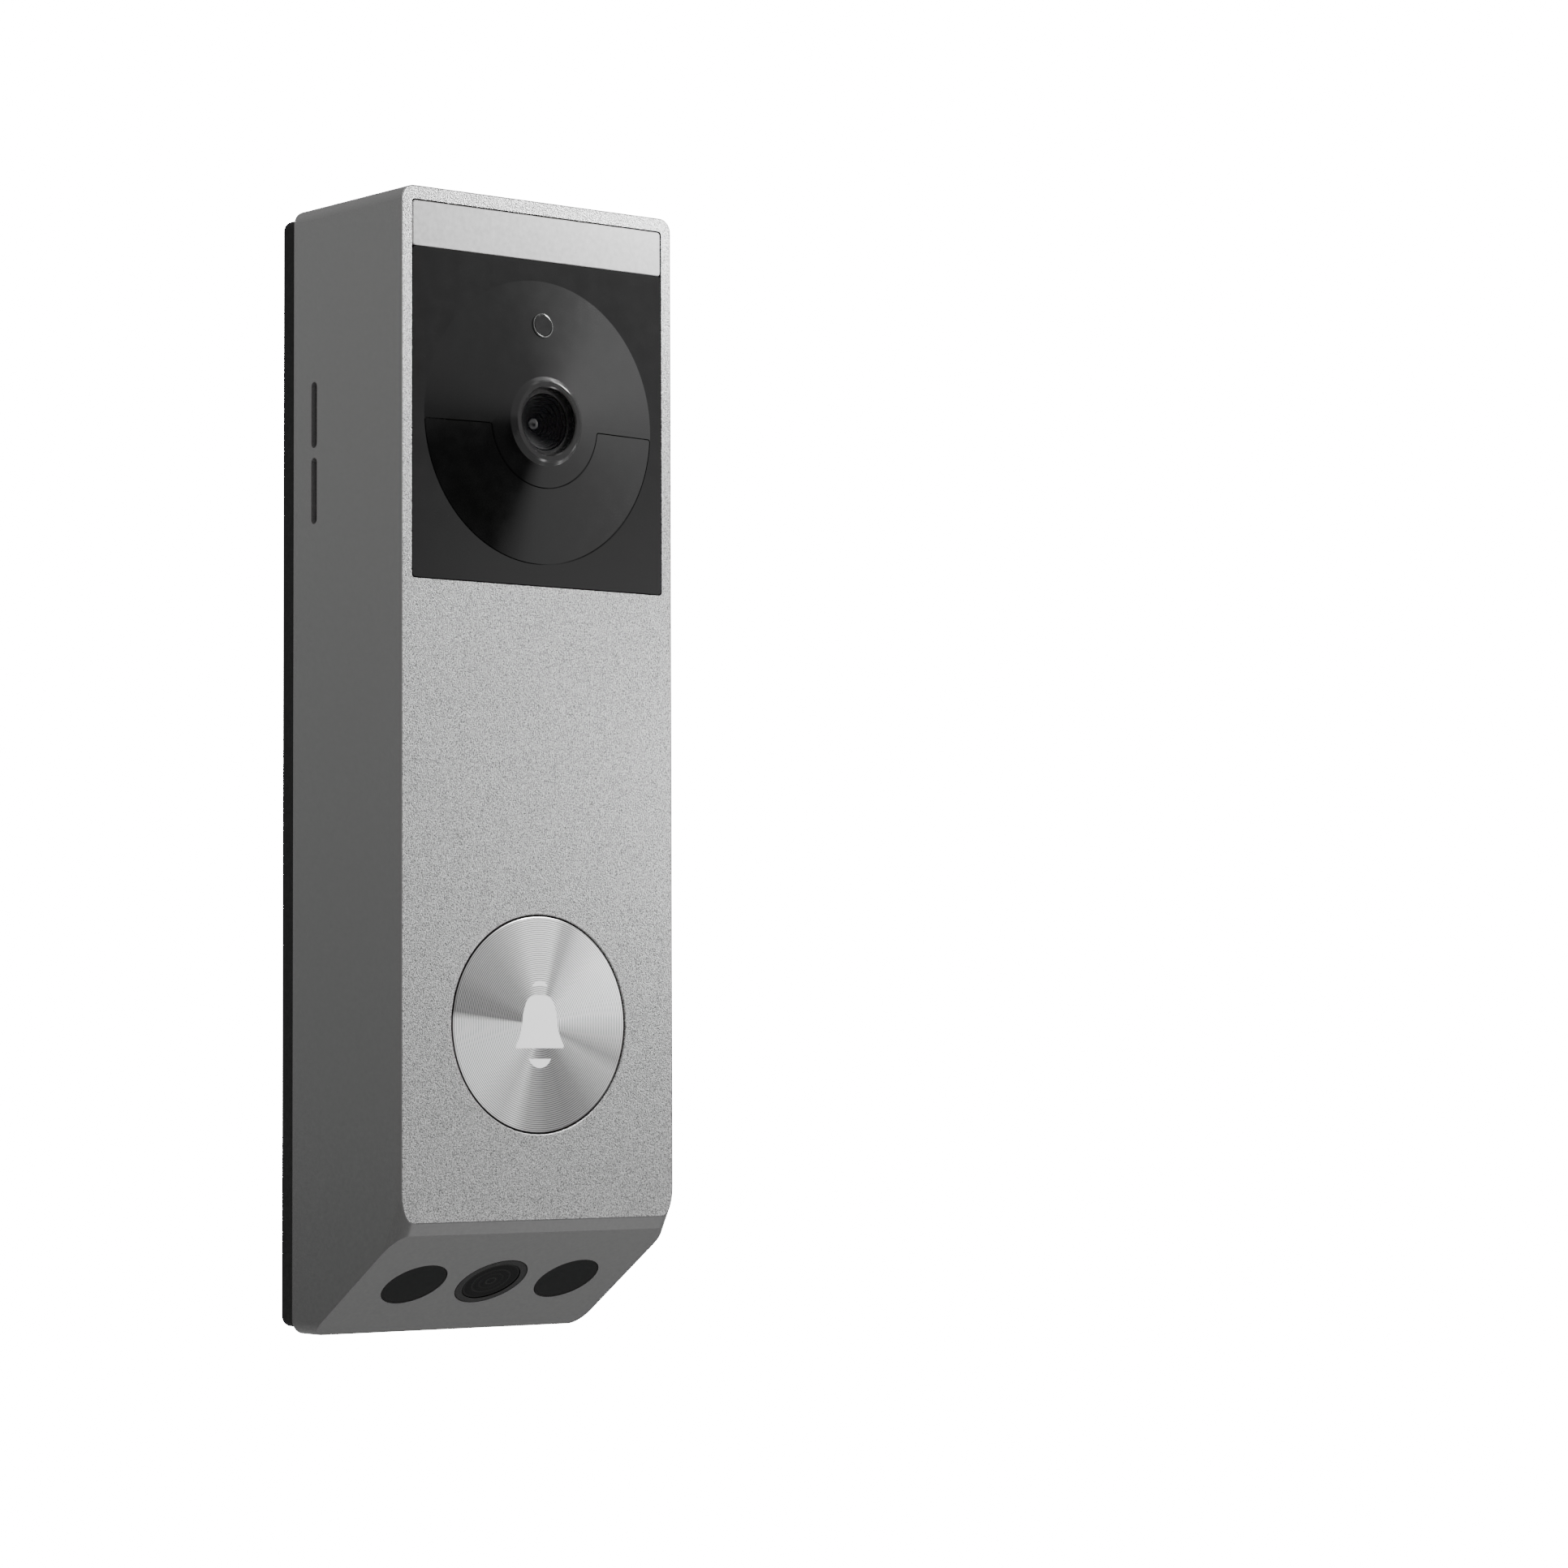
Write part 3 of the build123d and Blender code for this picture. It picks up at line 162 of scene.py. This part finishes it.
# ---------------------------------------------------------------- materials
def ringed_glass(name):
    """Dark lens glass of the chin camera, opaque, with painted reflections: light rings in the base colour
    stand in for glints off the rings of its barrel.
    """
    m = Nodes(name)
    lens = nodes["chin_glass"]
    middle = sum((lens.matrix_world @ Vector(corner) for corner in lens.bound_box), Vector()) / 8
    gap = m.add("ShaderNodeVectorMath", operation="DISTANCE")
    m.link(m.coords.outputs["Object"], gap.inputs[0])
    gap.inputs[1].default_value = middle
    # painted reflection: the light bands are glints of the barrel's rings, drawn into the base colour
    painted_ring_glints = [(0.0, 1), (0.14, 1), (0.17, 40), (0.21, 2), (0.36, 1), (0.39, 24), (0.43, 1), (0.58, 1),
             (0.62, 30), (0.66, 2), (0.84, 1), (0.9, 22)]
    radius = m.math("DIVIDE", gap.outputs["Value"], 0.0045)
    radius = m.math("ADD", radius, m.math("MULTIPLY", m.noise(900.0), 0.01))
    m.link(m.ramp(radius, *((at, grey(level)) for at, level in painted_ring_glints)), m.bsdf.inputs["Base Color"])
    m.set(Roughness=0.12, Specular_IOR_Level=0.02)
    return m.mat


def front_silver():
    """Bead-blasted silver: dense fine sparkle."""
    m = Nodes("front_silver")
    fine = m.noise(6800.0, 2.0)
    sparkle = m.add("ShaderNodeTexVoronoi")
    sparkle.inputs["Scale"].default_value = 5600.0
    m.link(m.coords.outputs["Object"], sparkle.inputs["Vector"])
    mixed = m.math("ADD", fine, m.math("MULTIPLY", sparkle.outputs["Distance"], 0.35))
    colour = m.ramp(mixed, (0.42, grey(76)), (0.85, grey(192)))
    m.link(colour, m.bsdf.inputs["Base Color"])
    m.link(m.bump(mixed, 0.8, 0.00008), m.bsdf.inputs["Normal"])
    m.set(Metallic=0.85, Roughness=0.42)
    return m.mat


BUTTON_PAINTED_REFLECTION = (  # angle from +X in degrees, brightness of the painted reflection on the turned face there
    (0, 0.58), (10, 0.73), (40, 0.71), (50, 0.62), (60, 0.55), (68, 0.4), (73, 0.42), (80, 0.7),
    (100, 0.7), (110, 0.52), (120, 0.41), (130, 0.34), (150, 0.29), (160, 0.23), (173, 0.21), (177, 0.6),
    (182, 0.64), (220, 0.65), (230, 0.58), (240, 0.52), (250, 0.62), (260, 0.38), (275, 0.28), (290, 0.25),
    (305, 0.28), (320, 0.4), (332, 0.47), (340, 0.33), (350, 0.47), (360, 0.58),
)


def turned_metal():
    """Turned face of the button: very fine concentric grooves, with light and dark sectors of painted
    reflection drawn in the base colour by angle.
    """
    m = Nodes("turned_metal")
    mapping = m.add("ShaderNodeMapping")
    mapping.inputs["Location"].default_value = (0, 0, -BUTTON_Z * MM)
    m.link(m.coords.outputs["Object"], mapping.inputs["Vector"])
    split = m.add("ShaderNodeSeparateXYZ")
    m.link(mapping.outputs["Vector"], split.inputs[0])
    turn = m.math("ARCTAN2", split.outputs["Z"], split.outputs["X"])
    turn = m.math("FRACT", m.math("ADD", m.math("DIVIDE", turn, 2 * math.pi), 1.0))
    # painted reflection: light and dark sectors drawn into the base colour by angle around the button, fixed
    # to the button
    sectors = m.ramp(turn, *((angle / 360, (1.25 * level**1.2,) * 3) for angle, level in BUTTON_PAINTED_REFLECTION))
    wave = m.add("ShaderNodeTexWave", wave_type="RINGS", rings_direction="Y")
    wave.inputs["Scale"].default_value = 1120.0
    wave.inputs["Distortion"].default_value = 0.3
    wave.inputs["Detail"].default_value = 2.0
    m.link(mapping.outputs["Vector"], wave.inputs["Vector"])
    fac = wave.outputs["Fac"]
    grooves = m.ramp(fac, (0.0, (0.5,) * 3), (0.5, (1.0,) * 3), (1.0, (1.42,) * 3))
    tone = m.add("ShaderNodeVectorMath", operation="MULTIPLY")
    m.link(sectors, tone.inputs[0])
    m.link(grooves, tone.inputs[1])
    m.link(tone.outputs[0], m.bsdf.inputs["Base Color"])
    m.link(m.bump(fac, 0.5, 0.00003), m.bsdf.inputs["Normal"])
    tangent = m.add("ShaderNodeTangent", direction_type="RADIAL", axis="Y")
    m.link(tangent.outputs["Tangent"], m.bsdf.inputs["Tangent"])
    m.set(Metallic=1.0, Roughness=0.36, Anisotropic=0.4)
    return m.mat


def body_grey():
    """Painted grey of the body, with painted light: lighter towards the top and darker towards the bottom,
    drawn in the base colour by height.
    """
    m = Nodes("body_grey")
    fac = m.noise(1800.0, 3.0)
    split = m.add("ShaderNodeSeparateXYZ")
    m.link(m.coords.outputs["Object"], split.inputs[0])
    # painted light: the base colour is ramped by height, lighter at the top where the light falls
    height = m.add("ShaderNodeMapRange")
    for key, value in (("From Min", -0.075), ("From Max", 0.07), ("To Min", 0.1), ("To Max", 0.9)):
        height.inputs[key].default_value = value
    m.link(split.outputs["Z"], height.inputs["Value"])
    mixed = m.math("ADD", height.outputs["Result"], m.math("MULTIPLY", m.math("SUBTRACT", fac, 0.5), 0.12))
    colour = m.ramp(mixed, (0.0, grey(67)), (0.25, grey(93)), (0.5, grey(104)), (1.0, grey(118)))
    m.link(colour, m.bsdf.inputs["Base Color"])
    m.link(m.bump(fac, 0.08, 0.00001), m.bsdf.inputs["Normal"])
    m.set(Metallic=0.15, Roughness=0.45)
    return m.mat


LOOKS = {
    "bracket_black": grained("bracket_black", grey(26), grey(36), 1500.0, 0.0, 0.8, 0.1, 0.00002, 0.15),
    "body_grey": body_grey(),
    "front_silver": front_silver(),
    "trim_silver": grained("trim_silver", grey(170), grey(180), 1500.0, 0.6, 0.4, 0.1, 0.00001),
    "window_black": grained("window_black", grey(8), grey(12), 400.0, 0.0, 0.1, 0.01, 0.00001, 0.4),
    "button_metal": turned_metal(),
    "icon_light": grained("icon_light", grey(240), grey(246), 1500.0, 0.0, 0.5, 0.05, 0.00001),
    "lens_black": grained("lens_black", grey(10), grey(14), 900.0, 0.0, 0.18, 0.02, 0.00001),
    "lens_glass": glassy("lens_glass", (0.01, 0.011, 0.015), 0.02, 0.05),
    "inner_black": grained("inner_black", grey(14), grey(22), 1200.0, 0.0, 0.5, 0.2, 0.00002),
    "frame_grey": grained("frame_grey", grey(88), grey(100), 900.0, 0.0, 0.5, 0.2, 0.00003),
    "board_green": grained(
        "board_green", (0.008, 0.07, 0.03), (0.02, 0.12, 0.05), 500.0, 0.0, 0.35, 0.2, 0.00002
    ),
    "chip_black": grained("chip_black", grey(20), grey(30), 1500.0, 0.0, 0.4, 0.2, 0.00001),
    "sensor_can": grained("sensor_can", grey(160), grey(190), 700.0, 1.0, 0.3, 0.1, 0.00001),
    "led_clear": glassy("led_clear", (0.75, 0.78, 0.85), 0.05, 0.5),
    "light_pipe": grained("light_pipe", grey(70), grey(84), 800.0, 0.0, 0.15, 0.02, 0.00001),
    "steel": grained("steel", grey(140), grey(175), 900.0, 1.0, 0.3, 0.1, 0.00001),
    "spring_steel": grained("spring_steel", grey(130), grey(165), 900.0, 1.0, 0.3, 0.1, 0.00001),
    "brass": grained("brass", (0.42, 0.28, 0.09), (0.6, 0.42, 0.16), 900.0, 1.0, 0.3, 0.1, 0.00001),
    "rubber_black": grained("rubber_black", grey(18), grey(28), 1500.0, 0.0, 0.7, 0.3, 0.00003),
    "foam_grey": grained("foam_grey", grey(50), grey(80), 1500.0, 0.0, 0.9, 0.8, 0.0001),
    "tape_black": grained("tape_black", grey(10), grey(16), 900.0, 0.0, 0.6, 0.1, 0.00001),
    "mesh_steel": grained("mesh_steel", grey(110), grey(150), 1500.0, 1.0, 0.35, 0.1, 0.00001),
    "battery_wrap": grained("battery_wrap", grey(150), grey(165), 200.0, 0.7, 0.3, 0.2, 0.00005),
    "lead_red": grained("lead_red", (0.3, 0.01, 0.01), (0.4, 0.02, 0.02), 900.0, 0.0, 0.4, 0.1, 0.00001),
    "antenna_copper": grained(
        "antenna_copper", (0.55, 0.25, 0.12), (0.65, 0.32, 0.16), 900.0, 1.0, 0.3, 0.1, 0.00001
    ),
    "seal_silicone": grained("seal_silicone", grey(120), grey(130), 900.0, 0.0, 0.55, 0.1, 0.00001),
}

# painted light: the icon is given a faint glow of its own to brighten it
icon_shader = LOOKS["icon_light"].node_tree.nodes["Principled BSDF"]
icon_shader.inputs["Emission Color"].default_value = (1, 1, 1, 1)
icon_shader.inputs["Emission Strength"].default_value = ICON_PAINTED_GLOW

# pieces whose finish differs from the other pieces in their slot
OWN_LOOKS = {
    "chin_windows": grained("infrared_black", grey(7), grey(12), 900.0, 0.0, 0.5, 0.02, 0.00001, 0.05),
    "chin_lens": grained("chin_lens_black", grey(2), grey(4), 900.0, 0.0, 0.4, 0.0, 0.00001, 0.06),
    "chin_bezel": grained("chin_bezel_black", grey(4), grey(8), 900.0, 0.0, 0.4, 0.02, 0.00001, 0.1),
    "chin_glass": ringed_glass("chin_dark_glass"),
    "daylight_pipe": grained("daylight_dark", grey(16), grey(24), 800.0, 0.0, 0.08, 0.01, 0.00001, 0.5),
    # partly painted shade: the panel's black tape is made darker and duller than the other tape, so that it
    # also stands in for the shade along the panel's edge
    "panel_tape": grained("panel_tape_black_and_edge_shade", grey(4), grey(8), 900.0, 0.0, 0.8, 0.1, 0.00001, 0.1),
}

slot_of = {entry["node"]: entry["material_slot"] for entry in frame["record"]["subparts"]}
for name, obj in nodes.items():
    obj.data.materials.clear()
    obj.data.materials.append(OWN_LOOKS.get(name) or LOOKS[slot_of[name]])


def soften(name, width):
    """Rounds a CAD node's sharp edges a little, so that they catch the light."""
    bevel = nodes[name].modifiers.new("edge", "BEVEL")
    bevel.width = width * MM
    bevel.segments = 2
    bevel.limit_method = "ANGLE"
    bevel.angle_limit = math.radians(BEVEL_ANGLE)
    bevel.use_clamp_overlap = True


# ---------------------------------------------------------------- turned pieces
def lathe(name, outline, centre, direction, body, look, replaces=()):
    """Solid of revolution: outline is (radius, height) in millimetres, height along direction."""
    axis = Vector(direction).normalized()
    turn = axis.to_track_quat("Z", "Y").to_matrix().to_4x4()
    place = Matrix.Translation(Vector(centre) * MM) @ turn
    bm = bmesh.new()
    rings = []
    for radius, height in outline:
        if radius == 0:
            rings.append([bm.verts.new((0, 0, height * MM))])
            continue
        ring = []
        for i in range(TURN_STEPS):
            a = 2 * math.pi * i / TURN_STEPS
            ring.append(bm.verts.new((radius * MM * math.cos(a), radius * MM * math.sin(a), height * MM)))
        rings.append(ring)
    for lower, upper in zip(rings, rings[1:] + rings[:1]):
        for i in range(TURN_STEPS):
            j = (i + 1) % TURN_STEPS
            quad = [ring[n % len(ring)] for ring, n in ((lower, i), (lower, j), (upper, j), (upper, i))]
            corners = list(dict.fromkeys(quad))
            if len(corners) > 2:
                bm.faces.new(corners)
    bm.transform(place)
    bmesh.ops.recalc_face_normals(bm, faces=bm.faces)
    mesh = bpy.data.meshes.new(name)
    bm.to_mesh(mesh)
    bm.free()
    obj = bpy.data.objects.new(name, mesh)
    bpy.context.collection.objects.link(obj)
    mesh.materials.append(look)
    for face in mesh.polygons:
        face.use_smooth = True
    split = obj.modifiers.new("split", "EDGE_SPLIT")
    split.split_angle = math.radians(28)
    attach(obj, body)
    if replaces:
        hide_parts(*replaces)
    return obj


def woven(name, node, pitch, wire, body, look):
    """Wire cloth that fills a thin upright plate of the CAD, wires along Y and Z, in its place."""
    box = [nodes[node].matrix_world @ Vector(corner) for corner in nodes[node].bound_box]
    low, high = (Vector(map(pick, zip(*box))) for pick in (min, max))
    middle = (low + high) / 2
    wire, pitch = wire * MM, pitch * MM
    swing = (high.x - low.x) / 2 - wire
    bm = bmesh.new()
    for along, across in ((1, 2), (2, 1)):
        half = (high[across] - low[across]) / 2 - wire
        reach = (high[along] - low[along]) / 2
        count = int(half / pitch)
        for n in range(-count, count + 1):
            steps = 4 * int(reach / pitch) + 4
            rings = []
            for i in range(steps + 1):
                t = -reach + 2 * reach * i / steps
                phase = math.cos(math.pi * (t / pitch + n + (along == 2)))
                ring = []
                for k in range(WIRE_SIDES):
                    a = 2 * math.pi * k / WIRE_SIDES
                    spot = middle.copy()
                    spot[along] += t
                    spot[across] += n * pitch + wire * math.cos(a)
                    spot.x += swing * phase + wire * math.sin(a)
                    ring.append(bm.verts.new(spot))
                rings.append(ring)
            for first, second in zip(rings, rings[1:]):
                for k in range(WIRE_SIDES):
                    bm.faces.new((first[k], first[k - 1], second[k - 1], second[k]))
            bm.faces.new(rings[0])
            bm.faces.new(rings[-1])
    bmesh.ops.recalc_face_normals(bm, faces=bm.faces)
    mesh = bpy.data.meshes.new(name)
    bm.to_mesh(mesh)
    bm.free()
    obj = bpy.data.objects.new(name, mesh)
    bpy.context.collection.objects.link(obj)
    mesh.materials.append(look)
    for face in mesh.polygons:
        face.use_smooth = True
    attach(obj, body)
    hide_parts(node)


def spring_look():
    """The button's return spring between the moving carrier and the fixed board, a fixed copy of the CAD node
    in its place.
    """
    node = nodes["button_spring"]
    obj = bpy.data.objects.new("button_spring_look", node.data.copy())
    obj.data.transform(node.matrix_world)
    bpy.context.collection.objects.link(obj)
    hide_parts("button_spring")
    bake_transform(obj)


# ---------------------------------------------------------------- stage, light and camera
def floor():
    """Pale round floor under the object."""
    bm = bmesh.new()
    bmesh.ops.create_circle(bm, cap_ends=True, segments=96, radius=1.5)
    bmesh.ops.translate(bm, vec=(0, 0, -0.42), verts=bm.verts)
    mesh = bpy.data.meshes.new("floor")
    bm.to_mesh(mesh)
    bm.free()
    obj = bpy.data.objects.new("floor", mesh)
    bpy.context.collection.objects.link(obj)
    m = Nodes("floor_pale")
    fac = m.noise(3.0)
    m.link(m.ramp(fac, (0.0, (0.62, 0.62, 0.62)), (1.0, (0.66, 0.66, 0.66))), m.bsdf.inputs["Base Color"])
    m.set(Roughness=0.8)
    mesh.materials.append(m.mat)


class WorldMath:
    """Arithmetic on the direction that a ray leaves in."""

    def __init__(self, tree):
        self.tree = tree
        coords = tree.nodes.new("ShaderNodeTexCoord")
        split = tree.nodes.new("ShaderNodeSeparateXYZ")
        tree.links.new(coords.outputs["Generated"], split.inputs[0])
        self.direction = coords.outputs["Generated"]
        self.x, self.y, self.z = split.outputs

    def op(self, kind, *values):
        node = self.tree.nodes.new("ShaderNodeMath")
        node.operation = kind
        for slot, value in zip(node.inputs, values):
            if isinstance(value, (int, float)):
                slot.default_value = value
            else:
                self.tree.links.new(value, slot)
        return node.outputs[0]

    def step(self, value, low, high, to_low=0.0, to_high=1.0):
        node = self.tree.nodes.new("ShaderNodeMapRange")
        node.interpolation_type = "SMOOTHSTEP"
        for key, number in (("From Min", low), ("From Max", high), ("To Min", to_low), ("To Max", to_high)):
            node.inputs[key].default_value = number
        self.tree.links.new(value, node.inputs["Value"])
        return node.outputs["Result"]

    def facing(self, vector):
        node = self.tree.nodes.new("ShaderNodeVectorMath")
        node.operation = "DOT_PRODUCT"
        node.inputs[1].default_value = Vector(vector).normalized()
        self.tree.links.new(self.direction, node.inputs[0])
        return node.outputs["Value"]


def world_light():
    """Studio surround: a white sweep behind the object, and soft grey light with one wide
    bright panel to the front right and a dark gap beside it."""
    world = bpy.data.worlds.new("studio")
    bpy.context.scene.world = world
    world.use_nodes = True
    w = WorldMath(world.node_tree)
    around = w.op("MULTIPLY", w.op("ARCTAN2", w.x, w.op("MULTIPLY", w.y, -1.0)), 180 / math.pi)
    above = w.op("MULTIPLY", w.op("ARCSINE", w.z), 180 / math.pi)
    level = w.step(above, -30, 20, 0.34, 0.5)
    soft_edge = w.op("MULTIPLY", w.step(around, 33, 47), w.step(above, 5, 9))
    turned = w.op("SUBTRACT", around, w.step(above, -1, 5, 0.0, 1.8))
    hard_edge = w.op("MULTIPLY", w.step(turned, 31.8, 36.5), w.step(above, 5, 9, 1.0, 0.0))
    panel = w.op("MULTIPLY", w.op("ADD", soft_edge, hard_edge), w.step(around, 75, 90, 1.0, 0.0))
    level = w.op("ADD", level, w.op("MULTIPLY", panel, 0.8))
    wedge = w.op("MULTIPLY", w.step(around, 43, 48), w.step(around, 62, 72, 1.0, 0.0))
    wedge = w.op("MULTIPLY", wedge, w.step(above, 16, 21, 1.0, 0.0))
    wedge = w.op("MULTIPLY", wedge, w.step(above, -2, 12))
    level = w.op("ADD", level, w.op("MULTIPLY", wedge, 0.6))
    upper = w.op("MULTIPLY", w.step(above, 7, 13), w.step(around, 60, 90, 0.35, 0.0))
    level = w.op("ADD", level, upper)
    dark = w.op("MULTIPLY", w.step(around, 31.2, 32.6, 1.0, 0.0), w.step(around, -5, 5))
    dark = w.op("MULTIPLY", dark, w.step(above, 5.5, 9, 1.0, 0.0))
    dark = w.op("MULTIPLY", dark, w.step(above, -25, -15))
    level = w.op("MULTIPLY", level, w.op("SUBTRACT", 1.0, w.op("MULTIPLY", dark, 0.9)))
    sweep = w.step(w.facing((0.652, 0.756, 0.056)), math.cos(math.radians(26)), math.cos(math.radians(17)))
    level = w.op("ADD", level, w.op("MULTIPLY", sweep, 17.0))
    background = world.node_tree.nodes["Background"]
    world.node_tree.links.new(level, background.inputs["Strength"])
    background.inputs["Color"].default_value = (1, 1, 1, 1)


def softbox(name, place, size, power, target):
    """Rectangular light, sizes in metres and power in watts, turned to a point."""
    light = bpy.data.lights.new(name, "AREA")
    light.shape = "RECTANGLE"
    light.size, light.size_y = size
    light.energy = power
    obj = bpy.data.objects.new(name, light)
    obj.location = place
    obj.rotation_euler = (Vector(target) - Vector(place)).to_track_quat("-Z", "Y").to_euler()
    bpy.context.collection.objects.link(obj)


def photo_camera():
    """Camera low on the left of the object, looking slightly up."""
    yaw, pitch = 0.638219, 0.055347
    camera = bpy.data.cameras.new("camera")
    camera.sensor_width = 36.0
    camera.lens = 103.896
    camera.shift_x, camera.shift_y = 0.21234, 0.00086
    camera.clip_start, camera.clip_end = 0.01, 50.0
    obj = bpy.data.objects.new("camera", camera)
    obj.location = (-0.37280, -0.51171, -0.03642)
    obj.rotation_euler = (math.pi / 2 + pitch, 0, -yaw)
    bpy.context.collection.objects.link(obj)
    bpy.context.scene.camera = obj


floor()
world_light()
softbox("near", (0.098, -0.072, 0.128), (0.04, 0.05), 0.55, (0.015, -0.029, 0.05))
softbox("right", (0.10, -0.07, 0.005), (0.04, 0.06), 0.06, (0.01, -0.029, -0.01))
softbox("low", (0.149, -0.129, -0.239), (0.08, 0.08), 0.12, (0.0, -0.028, -0.065))
photo_camera()

# ---------------------------------------------------------------- camera eye
OUT = (0, -1, 0)
EYE = (0, FRONT, EYE_Z)
lathe(
    "lens_barrel_look",
    (
        (1.0, -4.0), (1.05, -1.2), (1.35, -0.95), (1.45, -0.95), (1.5, -0.75), (1.9, -0.6), (1.95, -0.45),
        (2.4, -0.3), (2.45, -0.05), (2.9, 0.1), (2.95, 0.35), (3.4, 0.5), (3.45, 0.8), (3.7, 0.95),
        (3.78, 0.9), (3.78, -9.5), (1.2, -9.5), (1.2, -4.0),
    ),
    EYE, OUT, "unit",
    grained("barrel_black", grey(3), grey(5), 900.0, 0.0, 0.5, 0.0, 0.00001, 0.03), ("lens_barrel",),
)
lathe(
    "front_element_look",
    ((0, -0.72), (0.3, -0.74), (0.6, -0.81), (0.85, -0.93), (1.02, -1.1), (1.02, -1.7), (0, -1.7)),
    EYE, OUT, "unit",
    grained("pupil_glass", (0.002, 0.002, 0.003), (0.003, 0.003, 0.004), 900.0, 0.0, 0.05, 0.0, 0.00001, 1.0),
    ("front_element",),
)
daylight_height = DOME_RISE * (DOME_R - DAYLIGHT_R) / (DOME_R - SKIRT_R)
lathe(
    "daylight_rim",
    ((1.5, -0.6), (1.5, 0.16), (1.55, 0.2), (1.62, 0.2), (1.68, 0.14), (1.68, -0.6)),
    (0, FRONT - daylight_height, EYE_Z + DAYLIGHT_R), (0, -1, 0.12), "unit",
    grained("rim_grey", grey(70), grey(90), 900.0, 0.3, 0.2, 0.02, 0.00001),
)
woven(
    "speaker_mesh_look", "speaker_mesh", 0.36, 0.055, "unit",
    grained("mesh_wire", grey(50), grey(76), 1500.0, 1.0, 0.35, 0.05, 0.00001),
)

# ---------------------------------------------------------------- edges
for name, width in (("housing", 0.15), ("front_panel", 0.06), ("trim_bar", 0.08),
                    ("camera_cover", 0.09), ("pir_window", 0.1), ("button_cap", 0.05), ("lens_bezel", 0.08)):
    soften(name, width)

spring_look()
